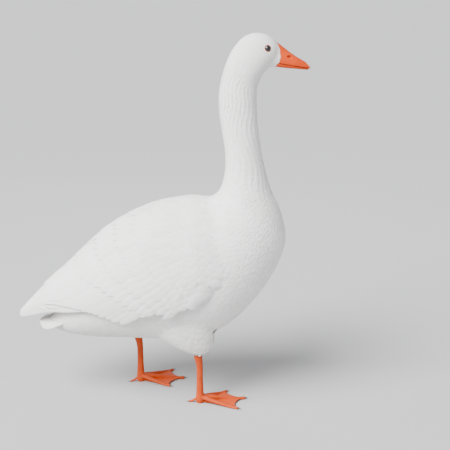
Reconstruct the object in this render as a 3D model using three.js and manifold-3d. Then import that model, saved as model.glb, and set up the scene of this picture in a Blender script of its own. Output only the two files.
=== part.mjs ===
// A life-size white domestic goose in mid-stride, with its neck up and its bill slightly lowered.
// Millimetres, +Z up, +X towards the bill, +Y towards the goose's left side. Z = 0 is the ground.
import * as THREE from "three";
import { LoftGeometry } from "three/addons/geometries/LoftGeometry.js";
import { mergeGeometries, mergeVertices } from "three/addons/utils/BufferGeometryUtils.js";
import Module from "manifold-3d";

const wasm = await Module();
wasm.setup();

const { degToRad, radToDeg, lerp } = THREE.MathUtils;

// ---- driving dimensions -------------------------------------------------------------------------

const seam = 0.3; // gap between two nodes that touch
const skinGap = seam * 1.5; // the same where a node lies on the skin's facets

// The skin of the bird from the tail root to the bill, as ribs that fan round the bends.
// back and belly are [x, z] on the middle plane, halfWidth is across, and low moves the widest place
// towards the belly, as a share of the rib.
const skinRibs = [
  { back: [-302, 205], belly: [-298, 185], halfWidth: 20, low: 0 }, // end of the tail coverts
  { back: [-270, 240], belly: [-264, 172], halfWidth: 42, low: 0 }, // tail root
  { back: [-238, 289], belly: [-228, 165], halfWidth: 66, low: 0 }, // vent
  { back: [-192, 350], belly: [-186, 161], halfWidth: 90, low: 0.01 }, // rump
  { back: [-134, 417], belly: [-136, 160], halfWidth: 112, low: 0.02 },
  { back: [-66, 462], belly: [-74, 160], halfWidth: 126, low: 0.04 }, // abdomen
  { back: [0, 491], belly: [-4, 159], halfWidth: 133, low: 0.05 },
  { back: [54, 508], belly: [66, 162], halfWidth: 133, low: 0.05 }, // keel
  { back: [94, 517], belly: [136, 184], halfWidth: 129, low: 0.04 },
  { back: [120, 526], belly: [200, 236], halfWidth: 121, low: 0.03 },
  { back: [134, 540], belly: [260, 314], halfWidth: 108, low: 0.02 }, // crop
  { back: [142, 560], belly: [298, 404], halfWidth: 90, low: 0 },
  { back: [146, 583], belly: [288, 480], halfWidth: 70, low: 0 }, // neck base
  { back: [148, 612], belly: [260, 546], halfWidth: 55, low: 0 },
  { back: [145, 650], belly: [241, 618], halfWidth: 45, low: 0 },
  { back: [138, 692], belly: [231, 682], halfWidth: 41, low: 0 }, // middle of the neck
  { back: [132, 736], belly: [226, 732], halfWidth: 39, low: 0 },
  { back: [132, 780], belly: [225, 774], halfWidth: 37.5, low: 0 },
  { back: [139, 818], belly: [228, 798], halfWidth: 36, low: 0.01 }, // throat
  { back: [150, 851], belly: [233, 812], halfWidth: 35.5, low: 0.03 },
  { back: [166, 883], belly: [238, 822], halfWidth: 35, low: 0.06 }, // jaw
  { back: [189, 909], belly: [244, 829], halfWidth: 34.5, low: 0.08 },
  { back: [215, 920], belly: [250, 836], halfWidth: 33, low: 0.08 }, // crown
  { back: [241, 918], belly: [257, 843], halfWidth: 29.5, low: 0.06 },
  { back: [262, 907], belly: [265, 851], halfWidth: 24, low: 0.04 },
  { back: [274, 893], belly: [272, 860], halfWidth: 16, low: 0 }, // feather edge at the bill
];
const skinSteps = 42; // sections along the skin
const skinSides = 24; // faces round it
const ribFullness = 0.92; // below 1 a rib bulges at its sides more than an ellipse does

// Where the skin is parted: two [x, z] points of each cutting plane.
const tailCut = [[-258, 262], [-246, 166]];
const neckBaseCut = [[146, 583], [288, 480]];
const neckMiddleCut = [[138, 700], [230, 692]];
const headCut = [[144, 836], [230, 804]];

// The outside of the folded wings, as ribs of the same kind, from the shoulder back to the wing tips.
const cloakRibs = [
  { back: [110, 528], belly: [190, 212], halfWidth: 131, low: 0.04 },
  { back: [78, 524], belly: [112, 166], halfWidth: 141, low: 0.05 },
  { back: [32, 519], belly: [48, 146], halfWidth: 147, low: 0.06 },
  { back: [-28, 506], belly: [-22, 144], halfWidth: 148, low: 0.06 },
  { back: [-88, 481], belly: [-90, 145], halfWidth: 140, low: 0.05 },
  { back: [-148, 445], belly: [-152, 152], halfWidth: 124, low: 0.04 },
  { back: [-202, 398], belly: [-206, 162], halfWidth: 102, low: 0.03 },
  { back: [-250, 351], belly: [-252, 176], halfWidth: 79, low: 0.02 },
  { back: [-295, 312], belly: [-297, 190], halfWidth: 57, low: 0 },
  { back: [-338, 268], belly: [-338, 196], halfWidth: 38, low: 0 },
  { back: [-380, 222], belly: [-378, 200], halfWidth: 13, low: 0 },
];

const headPitch = degToRad(-13); // the bill points this much below level
const headOrigin = [248, 880]; // [x, z], from where the head's own lengthwise and upward measures start
const eye = { ahead: -2, above: 4, out: 22.8, radius: 8.8 }; // out is from the middle plane to its centre
const lid = { out: 28.3, radius: 7.1, tube: 1.7, yaw: 15, tilt: 8, length: 1.1, height: 0.98 };
const lidFacets = [5, 14]; // round its tube, and along it
const ballFacets = [12, 8]; // round an eye, the nail or a nostril, and from pole to pole

const billWidth = 35;
const billInset = 1.6; // how much narrower the lower mandible is, on each side
const billBite = 0.5; // gap between the mandibles, which draws the line of the mouth
const nail = { ahead: 109.5, above: -10, radii: [13, 9, 12] }; // the egg that marks it off the bill's tip
const nostril = { ahead: 54, above: -3.5, left: 12.5, radii: [6.5, 4, 3] };

const legs = [
  { side: 1, name: "left", ankle: [-78, 66], hip: -12, turn: 6 }, // ankle [x, y], hip x, toes turned left
  { side: -1, name: "right", ankle: [84, -66], hip: 48, turn: 9 },
];
const thighBottom = 130;
const thighTop = 240;
const thighLean = 12; // how much further out its top is than the ankle
const thighBend = 1.7; // how much sooner it comes over the hip lengthwise than it rises to its top
const thighSides = 14;
const shankDepth = 17.5; // front to back
const shankWidth = 14;
const shankBottom = 24;
const shankTop = 166;
const shankWaist = 0.94; // share of its size that it keeps between its swellings
const shankLevels = 10;
const shankSides = 10;
const hock = { height: 126, swell: 0.3, reach: 16, back: 4 }; // the bare joint under the thigh's feathers
const footSwell = { height: 24, swell: 0.18, reach: 22 }; // the shank's flare into the foot
const toes = [
  { name: "inner", angle: 32, length: 90, joints: 2, radius: 6.4 },
  { name: "middle", angle: 0, length: 116, joints: 3, radius: 7 },
  { name: "outer", angle: -32, length: 105, joints: 4, radius: 6.4 },
];
const hindToe = { name: "hind", angle: 168, length: 29, radius: 4.4 };
const toeRoot = 17; // height where the toes leave the ankle
const toeTaper = 0.42; // share of its radius that a toe loses by its end
const toeArch = 1.5; // how far it is lifted between its root and its end
const toeArchEnd = 0.8; // share of its length at which the lift is over
const toeFall = 2.2; // power by which it sinks from its root to the ground
const toeBreadth = 1.08; // times its height
const toeSides = 8;
const toeSink = 0.82; // share of the radius from the ground to a toe's centre, so that the pads are flat
const jointSwell = 0.09;
const clawForm = {
  length: 9,
  root: 3.5, // how deep a claw sits in its toe
  stout: 0.72, // its root's radius, as a share of the toe's end
  taper: 1.4, // power by which it thins
  point: 0.5, // least radius
  breadth: 0.8, // times its height
  rise: 0.6, // of its root over the middle of the toe's end
  hook: 1.6, // how far its point bends down
  clearance: 0.4, // between it and the ground
  steps: 4,
  sides: 6,
};
const web = { thickness: 2.4, height: 3, reach: 0.95, hollow: 0.8, heel: 4, arcs: 7 }; // reach: along its toes
const knuckleSides = 12;

const paint = {
  feather: { color: 0xf4f2ec, roughness: 0.85, metalness: 0 },
  bill: { color: 0xf0641e, roughness: 0.42, metalness: 0 },
  nail: { color: 0xf2c9a4, roughness: 0.4, metalness: 0 },
  leg: { color: 0xe95a20, roughness: 0.55, metalness: 0 },
  claw: { color: 0x6a5040, roughness: 0.4, metalness: 0 },
  eye: { color: 0x101318, roughness: 0.08, metalness: 0 },
};

// ---- solids and their joins ---------------------------------------------------------------------

// A closed three.js geometry as a solid that faces out, with only its positions, so that vertices merge.
function solidOf(geometry) {
  const bare = geometry.index ? geometry.toNonIndexed() : geometry.clone();
  for (const name of Object.keys(bare.attributes)) if (name !== "position") bare.deleteAttribute(name);
  const merged = mergeVertices(bare, 1e-4);
  const corners = [...merged.index.array];
  const kept = [];
  for (let i = 0; i < corners.length; i += 3) {
    const [a, b, c] = corners.slice(i, i + 3);
    if (a !== b && b !== c && c !== a) kept.push(a, b, c);
  }
  const solid = (order) => {
    const vertProperties = merged.attributes.position.array;
    const mesh = new wasm.Mesh({ numProp: 3, vertProperties, triVerts: new Uint32Array(order) });
    return new wasm.Manifold(mesh);
  };
  const drawn = solid(kept);
  return drawn.volume() > 0 ? drawn : solid(kept.toReversed());
}

function geometryOf(solid) {
  const mesh = solid.getMesh();
  const geometry = new THREE.BufferGeometry();
  geometry.setAttribute("position", new THREE.BufferAttribute(mesh.vertProperties, 3));
  geometry.setIndex(new THREE.BufferAttribute(mesh.triVerts, 1));
  geometry.computeVertexNormals();
  return geometry;
}

const join = (solids) => solids.reduce((whole, next) => whole.add(next));

// The largest closed piece, without the scraps that a cut leaves.
function largest(solid) {
  const pieces = solid.decompose();
  return pieces.reduce((best, next) => (next.volume() > best.volume() ? next : best));
}

// A solid through closed rings of points, whichever way round the rings were drawn.
function loft(rings) {
  const total = (ring) => ring.reduce((sum, point) => sum.add(point), new THREE.Vector3());
  const centre = (ring) => total(ring).divideScalar(ring.length);
  const start = centre(rings[0]);
  const facing = new THREE.Vector3();
  for (const [i, point] of rings[0].entries()) {
    const next = rings[0][(i + 1) % rings[0].length];
    facing.add(point.clone().sub(start).cross(next.clone().sub(start)));
  }
  const drawnForward = facing.dot(centre(rings[1]).sub(start)) > 0;
  const sections = drawnForward ? rings : rings.map((ring) => ring.toReversed());
  return solidOf(new LoftGeometry(sections, { capStart: true, capEnd: true }));
}

// Repeats that vary a little, the same way at every run.
function dice(seed) {
  let state = seed;
  return (spread) => {
    state = (state * 1664525 + 1013904223) % 4294967296;
    return (state / 4294967296 - 0.5) * 2 * spread;
  };
}

// ---- ribbed skins -------------------------------------------------------------------------------

// A smooth run of ribs: at(t) gives the rib at t from 0 to 1.
function ribRun(ribs) {
  const onPlane = ([x, z]) => new THREE.Vector3(x, 0, z);
  const backs = new THREE.CatmullRomCurve3(ribs.map((rib) => onPlane(rib.back)));
  const bellies = new THREE.CatmullRomCurve3(ribs.map((rib) => onPlane(rib.belly)));
  const spans = new THREE.CatmullRomCurve3(
    ribs.map((rib) => new THREE.Vector3(rib.halfWidth, rib.low * 100, 0)),
  );
  return (t) => {
    const span = spans.getPoint(t);
    return { back: backs.getPoint(t), belly: bellies.getPoint(t), halfWidth: span.x, low: span.y / 100 };
  };
}

// A point of a rib. angle is 0 at the back and 180 at the belly, by the left side, and out is how far the
// point stands off the rib.
function ribPoint(rib, angle, out = 0) {
  const turn = degToRad(angle);
  const share = (1 - Math.cos(turn)) / 2;
  const down = share + 4 * rib.low * share * (1 - share);
  const towardsBelly = rib.belly.clone().sub(rib.back).normalize();
  const point = rib.back.clone().lerp(rib.belly, down);
  point.addScaledVector(towardsBelly, -Math.cos(turn) * out);
  const aside = Math.sin(turn);
  point.y = Math.sign(aside) * Math.abs(aside) ** ribFullness * rib.halfWidth + aside * out;
  return point;
}

const skinAt = ribRun(skinRibs);
const cloakAt = ribRun(cloakRibs);

function skin(out) {
  const sections = [];
  for (let step = 0; step <= skinSteps; step++) {
    const rib = skinAt(step / skinSteps);
    const ring = [];
    for (let side = 0; side < skinSides; side++) ring.push(ribPoint(rib, (360 * side) / skinSides, out));
    sections.push(ring);
  }
  return loft(sections);
}

// The part of a solid behind or ahead of a plane through two [x, z] points, half a seam short of it.
function sideOf(solid, [from, to], ahead) {
  const along = new THREE.Vector3(to[0] - from[0], 0, to[1] - from[1]).normalize();
  const normal = new THREE.Vector3(-along.z, 0, along.x).multiplyScalar(ahead ? 1 : -1);
  const offset = normal.dot(new THREE.Vector3(from[0], 0, from[1])) + seam / 2;
  return solid.trimByPlane(normal.toArray(), offset);
}

// ---- feathers -----------------------------------------------------------------------------------

const vaneRows = [
  { t: 0, width: 0.4, thick: 0 },
  { t: 0.3, width: 0.85, thick: 1 },
  { t: 0.64, width: 1, thick: 0.85 },
  { t: 0.88, width: 0.74, thick: 0.65 },
  { t: 1, width: 0.22, thick: 0 },
];

// One feather: two sheets with the same triangles that meet at their rims, each raised along the shaft.
// at(t, across) is a point of its middle surface, from root to tip and from -1 at the upper edge to 1 at
// the lower one, and out(t) is the way it faces.
function vane(at, out, thickness) {
  const sheet = (way) => {
    const plane = new THREE.PlaneGeometry(2, 1, 2, vaneRows.length - 1);
    const spots = plane.attributes.position;
    for (let i = 0; i < spots.count; i++) {
      const { t, width, thick } = vaneRows[Math.floor(i / 3)];
      const across = spots.getX(i);
      const rise = across === 0 ? way * thick * (thickness / 2) : 0;
      const spot = at(t, across * width).addScaledVector(out(t), rise);
      spots.setXYZ(i, spot.x, spot.y, spot.z);
    }
    if (way < 0) plane.setIndex([...plane.index.array].toReversed());
    return plane;
  };
  return solidOf(mergeGeometries([sheet(1), sheet(-1)]));
}

// A feather that lies on the cloak from root to tip, each [along, round], with round in degrees. lift is
// how far its root and its tip stand off the cloak, and tilt raises its lower edge over the next feather.
function cloakVane({ root, tip, width, lift, tilt, side, thickness }) {
  const ribOf = (t) => cloakAt(Math.min(1, lerp(root[0], tip[0], t)));
  const place = (t, across) => {
    const rib = ribOf(t);
    const radius = (rib.back.distanceTo(rib.belly) / 2 + rib.halfWidth) / 2;
    const aside = radToDeg((across * width) / 2 / radius);
    const height = lerp(lift[0], lift[1], Math.sqrt(t));
    const point = ribPoint(rib, lerp(root[1], tip[1], t) + aside, height + across * tilt);
    point.y *= side;
    return point;
  };
  const facing = (t) => {
    const lengthwise = place(Math.max(0, t - 0.1), 0).sub(place(Math.min(1, t + 0.1), 0));
    const normal = lengthwise.cross(place(t, 0.3).sub(place(t, -0.3))).normalize();
    const { back, belly } = ribOf(t);
    const outward = place(t, 0).sub(back.clone().lerp(belly, 0.5));
    return normal.multiplyScalar(Math.sign(normal.dot(outward)));
  };
  return vane(place, facing, thickness);
}

const stray = [0.006, 1]; // how far a feather's tip may lie from its even place, along and round

// A tier of feathers, with its roots and tips spaced evenly along two lines, each given by its two ends as
// [along, round].
function tier({ count, roots, tips, width, lift, tilt = 2.6, thickness = 1.7 }, side, seed) {
  const roll = dice(seed);
  const between = ([from, to], share) => [
    lerp(from[0], to[0], share),
    lerp(from[1], to[1], share),
  ];
  const feathers = [];
  for (let i = 0; i < count; i++) {
    const share = i / (count - 1);
    const root = between(roots, share);
    const tip = between(tips, share);
    tip[0] += roll(stray[0]);
    tip[1] += roll(stray[1]);
    const breadth = lerp(width[0], width[1], share);
    feathers.push(cloakVane({ root, tip, width: breadth, lift, tilt, side, thickness }));
  }
  return feathers;
}

// The tiers of one folded wing, each listed from its lowest feather to its highest.
const wingTiers = [
  // primaries
  {
    count: 5,
    roots: [[0.5, 96], [0.54, 52]],
    tips: [[0.99, 84], [0.88, 38]],
    width: [26, 30],
    lift: [-9, -3],
  },
  // secondaries
  {
    count: 8,
    roots: [[0.26, 84], [0.5, 62]],
    tips: [[0.45, 110], [0.82, 76]],
    width: [34, 30],
    lift: [-9, -2],
  },
  // tertials
  {
    count: 4,
    roots: [[0.38, 52], [0.36, 11]],
    tips: [[0.79, 56], [0.82, 12]],
    width: [42, 42],
    lift: [-8, 0],
  },
  // greater coverts
  {
    count: 8,
    roots: [[0.14, 76], [0.4, 52]],
    tips: [[0.32, 102], [0.62, 64]],
    width: [36, 34],
    lift: [-8, 1.5],
  },
  // median coverts
  {
    count: 7,
    roots: [[0.07, 64], [0.3, 42]],
    tips: [[0.22, 86], [0.46, 54]],
    width: [38, 36],
    lift: [-5, 3],
  },
  // hind scapulars
  {
    count: 4,
    roots: [[0.26, 44], [0.25, 8]],
    tips: [[0.54, 44], [0.54, 8]],
    width: [42, 40],
    lift: [-8, 2.5],
  },
  // fore scapulars
  {
    count: 5,
    roots: [[0.06, 56], [0.08, 8]],
    tips: [[0.32, 62], [0.34, 8]],
    width: [44, 42],
    lift: [-5, 4],
  },
];

// ---- wings and tail -----------------------------------------------------------------------------

// The folded wing's own body, which fills the space from under its feathers to the skin. Pairs are values
// at its front and at its far end.
const core = {
  steps: 12, // sections along it
  arcs: 6, // faces round its outer side
  along: [0.03, 0.88], // of the cloak
  outer: [2.5, 7], // depth of its outer face under the cloak, the second from a third of the way on
  inner: [28, 13], // depth of its inner face
  top: [14, 22], // degrees round the bird, of its upper edge
  bottom: [74, 96], // and of its lower edge, the second from halfway on
  sweep: 0.05, // how far its front edge falls back at its ends
};

function wingCore(side) {
  const middle = (core.top[0] + core.bottom[0]) / 2;
  const sections = [];
  for (let step = 0; step <= core.steps; step++) {
    const share = step / core.steps;
    const top = lerp(...core.top, share);
    const bottom = lerp(...core.bottom, Math.sin(Math.PI * Math.min(0.5, share)));
    const corner = (i, depth) => {
      const round = lerp(top, bottom, i / core.arcs);
      const front = core.along[0] + core.sweep * (1 - share) * ((round - middle) / middle) ** 2;
      const point = ribPoint(cloakAt(lerp(front, core.along[1], share)), round, -depth);
      point.y *= side;
      return point;
    };
    const ring = [];
    const outer = lerp(...core.outer, Math.min(1, share * 3));
    for (let i = 0; i <= core.arcs; i++) ring.push(corner(i, outer));
    for (let i = core.arcs; i >= 0; i--) ring.push(corner(i, lerp(...core.inner, share)));
    sections.push(ring);
  }
  return loft(sections);
}

function wing(side) {
  const feathers = wingTiers.flatMap((row, i) => tier(row, side, 7 + i * 2 + side));
  const whole = join([wingCore(side), ...feathers]).subtract(skin(skinGap));
  return largest(whole.trimByPlane([0, side, 0], seam / 2));
}

// The tail's fan of feathers.
const fan = {
  feathers: 14,
  root: [-236, 225], // [x, z] of the middle feathers' roots, inside the coverts
  length: 92, // of the middle feathers
  shorter: 0.14, // share of it that the outermost lack
  stray: 1.5, // how much a feather's length may vary
  halfWidth: 13, // of a feather
  thickness: 1.8,
  base: 24, // half the breadth of the row of roots
  arch: 9, // how much lower the outermost roots are
  spread: 24, // degrees from the middle to the outermost feather
  drop: 0.26, // how steeply the tail slopes down
  tilt: 1.6, // how much a feather's outer edge dips under its neighbour
};

// The tail: its coverts, which are the end of the skin, and the fan with its middle feathers on top.
function tail(whole) {
  const roll = dice(41);
  const up = new THREE.Vector3(-fan.drop, 0, 1).normalize();
  const feathers = [];
  for (let i = 0; i < fan.feathers; i++) {
    const share = (i / (fan.feathers - 1)) * 2 - 1;
    const turn = degToRad(share * fan.spread);
    const length = fan.length * (1 - fan.shorter * share * share) + roll(fan.stray);
    const heading = new THREE.Vector3(-Math.cos(turn), Math.sin(turn), -fan.drop).normalize();
    const level = new THREE.Vector3(Math.sin(turn), Math.cos(turn), 0).multiplyScalar(Math.sign(share));
    const from = new THREE.Vector3(fan.root[0], share * fan.base, fan.root[1] - fan.arch * share * share);
    const at = (t, across) => {
      const spot = from.clone().addScaledVector(heading, length * t);
      return spot.addScaledVector(level, across * fan.halfWidth).addScaledVector(up, -across * fan.tilt);
    };
    feathers.push(vane(at, () => up, fan.thickness));
  }
  return largest(sideOf(join([whole, ...feathers]), tailCut, false));
}

// ---- head ---------------------------------------------------------------------------------------

const forward = new THREE.Vector3(Math.cos(headPitch), 0, Math.sin(headPitch));
const upward = new THREE.Vector3(-Math.sin(headPitch), 0, Math.cos(headPitch));

// A point of the head: ahead of its origin, above it, and to the left of the middle plane.
function headPoint(ahead, above, left) {
  return new THREE.Vector3(headOrigin[0], left, headOrigin[1])
    .addScaledVector(forward, ahead)
    .addScaledVector(upward, above);
}

// The bill's side outline: for each length ahead, the ridge, the mouth line, the chin and the half width.
const billStations = [
  { ahead: 6, ridge: 23, mouth: -21, chin: -33, half: 0.44 },
  { ahead: 20, ridge: 22, mouth: -22.5, chin: -34, half: 0.49 },
  { ahead: 34, ridge: 16, mouth: -23.5, chin: -33.5, half: 0.51 },
  { ahead: 52, ridge: 8, mouth: -23, chin: -31.5, half: 0.5 },
  { ahead: 70, ridge: 1, mouth: -21.6, chin: -29, half: 0.47 },
  { ahead: 86, ridge: -4, mouth: -20.4, chin: -26.6, half: 0.43 },
  { ahead: 98, ridge: -7.5, mouth: -20, chin: -24.8, half: 0.37 },
  { ahead: 106, ridge: -11, mouth: -20.2, chin: -23.6, half: 0.27 },
  { ahead: 110.5, ridge: -15, mouth: -19.8, chin: -21.6, half: 0.13 },
];

const mandibleArcs = 7;
// powers that shape a mandible's arch: below 1 it is fuller than an ellipse, in height and at its sides
const mandibleArch = { upper: 0.9, lower: 0.6, sides: 0.85 };

// One mandible, as arches from the mouth line up to the ridge or down to the chin.
function mandible(upper, out) {
  const sections = billStations.slice(0, upper ? undefined : -1).map((station, index) => {
    const ahead = station.ahead - (index === 0 ? out : 0);
    const half = station.half * billWidth - (upper ? 0 : billInset) + out;
    const edge = station.mouth + (upper ? billBite / 2 - out : out - billBite / 2);
    const crest = upper ? station.ridge + out : station.chin - out;
    const ring = [];
    for (let i = 0; i <= mandibleArcs; i++) {
      const turn = (Math.PI * i) / mandibleArcs;
      const rise = Math.sin(turn) ** (upper ? mandibleArch.upper : mandibleArch.lower);
      const spread = Math.sign(Math.cos(turn)) * Math.abs(Math.cos(turn)) ** mandibleArch.sides;
      ring.push(headPoint(ahead, edge + (crest - edge) * rise, half * spread));
    }
    return ring;
  });
  return loft(sections);
}

function ball(radii, centre) {
  const geometry = new THREE.SphereGeometry(1, ...ballFacets);
  geometry.scale(...radii);
  geometry.rotateY(-headPitch);
  geometry.translate(...centre.toArray());
  return solidOf(geometry);
}

function eyeball(side, out) {
  const radius = eye.radius + out;
  return ball([radius, radius, radius], headPoint(eye.ahead, eye.above, side * eye.out));
}

// The ring of skin round one eye, a little longer than high and turned to lie on the side of the head.
function lids(side) {
  const geometry = new THREE.TorusGeometry(lid.radius, lid.tube, ...lidFacets);
  geometry.scale(lid.length, lid.height, 1);
  geometry.rotateX(Math.PI / 2);
  geometry.rotateY(-headPitch);
  geometry.rotateX(side * degToRad(lid.tilt));
  geometry.rotateZ(-side * degToRad(lid.yaw));
  geometry.translate(...headPoint(eye.ahead, eye.above, side * lid.out).toArray());
  return solidOf(geometry);
}

function nailEgg(out) {
  return ball(nail.radii.map((radius) => radius + out), headPoint(nail.ahead, nail.above, 0));
}

function billUpper() {
  const { ahead, above, left } = nostril;
  const holes = [left, -left].map((aside) => ball(nostril.radii, headPoint(ahead, above, aside)));
  return largest(mandible(true, 0).subtract(nailEgg(seam)).subtract(join(holes)));
}

const billNail = () => largest(mandible(true, 0).intersect(nailEgg(0)));

function head(whole) {
  const skull = join([sideOf(whole, headCut, true), lids(1), lids(-1)]);
  const socketed = skull.subtract(join([eyeball(1, seam), eyeball(-1, seam)]));
  return largest(socketed.subtract(join([mandible(true, seam), mandible(false, seam)])));
}

// ---- legs and feet ------------------------------------------------------------------------------

// An upright limb through points, each with a centre and two half breadths, lengthwise and across.
function limb(points, sides, out = 0) {
  const sections = points.map(({ at, long, wide }) => {
    const ring = [];
    for (let i = 0; i < sides; i++) {
      const turn = (2 * Math.PI * i) / sides;
      const corner = new THREE.Vector3((long + out) * Math.cos(turn), (wide + out) * Math.sin(turn), 0);
      ring.push(corner.add(new THREE.Vector3(...at)));
    }
    return ring;
  });
  return loft(sections);
}

// The feathered thigh: a lobe that hangs from the flank and narrows to the top of the shank.
const thighLevels = [
  { share: 0, long: 15, wide: 12 },
  { share: 0.1, long: 34, wide: 22 },
  { share: 0.26, long: 58, wide: 33 },
  { share: 0.5, long: 74, wide: 41 },
  { share: 0.78, long: 74, wide: 41 },
  { share: 1, long: 56, wide: 32 },
];

function thigh(leg, out) {
  const [x, y] = leg.ankle;
  const points = thighLevels.map(({ share, long, wide }) => {
    const middle = lerp(x, leg.hip, Math.min(1, share * thighBend));
    const z = lerp(thighBottom, thighTop, share);
    return { at: [middle, y + leg.side * thighLean * share, z], long, wide };
  });
  return limb(points, thighSides, out);
}

// The scaled shank from the ankle up to the hock, and on into the thigh.
function shank(leg, out) {
  const [x, y] = leg.ankle;
  const near = (z, place) => Math.exp(-(((z - place.height) / place.reach) ** 2));
  const points = [];
  for (let i = 0; i <= shankLevels; i++) {
    const z = lerp(shankBottom, shankTop, i / shankLevels);
    const stout = shankWaist + hock.swell * near(z, hock) + footSwell.swell * near(z, footSwell);
    const at = [x - hock.back * near(z, hock), y, z];
    points.push({ at, long: (shankDepth / 2) * stout, wide: (shankWidth / 2) * stout });
  }
  return limb(points, shankSides, out);
}

function headingOf(angle) {
  const turn = degToRad(angle);
  return new THREE.Vector3(Math.cos(turn), Math.sin(turn), 0);
}

// A ring of corners round a centre, upright and square to a level heading. first is the first corner's
// place, as a share of the way to the next, and breadth is how much wider than high the ring is.
function ringAcross(centre, heading, radius, sides, first, breadth) {
  const across = new THREE.Vector3(-heading.y, heading.x, 0);
  const ring = [];
  for (let i = 0; i < sides; i++) {
    const turn = (2 * Math.PI * (i + first)) / sides;
    const corner = centre.clone().addScaledVector(across, radius * breadth * Math.cos(turn));
    corner.z += radius * Math.sin(turn);
    ring.push(corner);
  }
  return ring;
}

// A toe from the foot's root along its own heading, swelling at each joint.
function digit(toe, from) {
  const heading = headingOf(toe.turned);
  const steps = toe.joints ? toe.joints * 2 + 1 : 3;
  const rings = [];
  for (let i = 0; i <= steps; i++) {
    const share = i / steps;
    const bulge = toe.joints ? 1 + jointSwell * Math.cos(2 * Math.PI * share * toe.joints) : 1;
    const radius = toe.radius * (1 - toeTaper * share) * bulge;
    const level = radius * toeSink;
    const arch = Math.sin(Math.PI * Math.min(1, share / toeArchEnd)) * toeArch;
    const centre = from.clone().addScaledVector(heading, toe.length * share);
    centre.z = level + arch + (from.z - level) * (1 - share) ** toeFall;
    rings.push(ringAcross(centre, heading, radius, toeSides, 0.5, toeBreadth));
  }
  return loft(rings);
}

// A claw that grows from a toe's end, curved down to its point.
function claw(toe, from, out) {
  const heading = headingOf(toe.turned);
  const toeEnd = toe.radius * (1 - toeTaper);
  const rings = [];
  for (let i = 0; i <= clawForm.steps; i++) {
    const share = i / clawForm.steps;
    const thinned = toeEnd * clawForm.stout * (1 - share ** clawForm.taper);
    const radius = Math.max(clawForm.point, thinned) + out;
    const ahead = toe.length - clawForm.root + (clawForm.length + clawForm.root) * share;
    const centre = from.clone().addScaledVector(heading, ahead);
    centre.z = toeEnd + clawForm.rise - clawForm.hook * share * share;
    rings.push(ringAcross(centre, heading, radius, clawForm.sides, 0, clawForm.breadth));
  }
  return loft(rings);
}

// The membrane between two toes, with a hollow front edge.
function membrane(inner, outer, from) {
  const end = (toe) => headingOf(toe.turned).multiplyScalar(toe.length * web.reach);
  const a = end(inner);
  const b = end(outer);
  const hollow = a.clone().add(b).multiplyScalar(web.hollow / 2);
  const shape = new THREE.Shape();
  shape.moveTo(-web.heel, 0);
  shape.lineTo(a.x, a.y);
  shape.quadraticCurveTo(hollow.x, hollow.y, b.x, b.y);
  shape.lineTo(-web.heel, 0);
  const form = { depth: web.thickness, bevelEnabled: false, curveSegments: web.arcs };
  const geometry = new THREE.ExtrudeGeometry(shape, form);
  geometry.translate(from.x, from.y, web.height);
  return solidOf(geometry);
}

// The knuckle over the toes' roots, from below the ground up to the shank's foot.
const knuckleLevels = [
  { height: -1, long: 9, wide: 8.5 },
  { height: 10, long: 11.5, wide: 10 },
  { height: 19, long: 10.5, wide: 8.8 },
  { height: 26, long: 10, wide: 8 },
];

// One foot and its claws. Toes fan round the ankle, and the inner toe is on the body's side.
function foot(leg) {
  const [x, y] = leg.ankle;
  const from = new THREE.Vector3(x, y, toeRoot);
  const digits = [...toes, hindToe].map((toe) => ({ ...toe, turned: leg.turn - leg.side * toe.angle }));
  const [inner, middle, outer] = digits;
  const webs = [membrane(inner, middle, from), membrane(middle, outer, from)];
  const levels = knuckleLevels.map(({ height, long, wide }) => ({ at: [x, y, height], long, wide }));
  const flesh = join([limb(levels, knuckleSides), ...digits.map((toe) => digit(toe, from)), ...webs]);
  const sockets = join(digits.map((toe) => claw(toe, from, seam)));
  const standing = flesh.subtract(sockets).trimByPlane([0, 0, 1], 0).subtract(shank(leg, seam));
  const claws = digits.map((toe) => {
    return { name: toe.name, solid: claw(toe, from, 0).trimByPlane([0, 0, 1], clawForm.clearance) };
  });
  return { solid: largest(standing), claws };
}

// ---- the goose ----------------------------------------------------------------------------------

const goose = new THREE.Group();

function add(name, solid, finish) {
  const mesh = new THREE.Mesh(geometryOf(solid), new THREE.MeshStandardMaterial(paint[finish]));
  mesh.name = name;
  goose.add(mesh);
}

const whole = skin(0);
const wings = { left: wing(1), right: wing(-1) };

add("torso", largest(sideOf(sideOf(whole, tailCut, true), neckBaseCut, false)), "feather");
add("neck_lower", largest(sideOf(sideOf(whole, neckBaseCut, true), neckMiddleCut, false)), "feather");
add("neck_upper", largest(sideOf(sideOf(whole, neckMiddleCut, true), headCut, false)), "feather");
add("head", head(whole), "feather");
add("bill_upper", billUpper(), "bill");
add("bill_nail", billNail(), "nail");
add("bill_lower", mandible(false, 0), "bill");
add("tail", tail(whole), "feather");

for (const leg of legs) {
  const { side, name } = leg;
  add("eye_" + name, eyeball(side, 0), "eye");
  const upperLeg = thigh(leg, 0).subtract(skin(skinGap)).subtract(shank(leg, seam));
  add("thigh_" + name, largest(upperLeg), "feather");
  add("wing_" + name, largest(wings[name].subtract(thigh(leg, seam))), "feather");
  add("shank_" + name, shank(leg, 0).subtract(skin(skinGap)), "leg");
  const { solid, claws } = foot(leg);
  add("foot_" + name, solid, "leg");
  for (const one of claws) add("claw_" + one.name + "_" + name, one.solid, "claw");
}

// The origin is on the ground, under the middle of the bird's length, to the nearest millimetre.
const box = new THREE.Box3().setFromObject(goose);
goose.position.x = -Math.round((box.min.x + box.max.x) / 2);

export default goose;
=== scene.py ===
import math

import bmesh
import bpy
import numpy as np
from mathutils import Matrix, Vector
from mathutils.bvhtree import BVHTree
from mathutils.kdtree import KDTree


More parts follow.
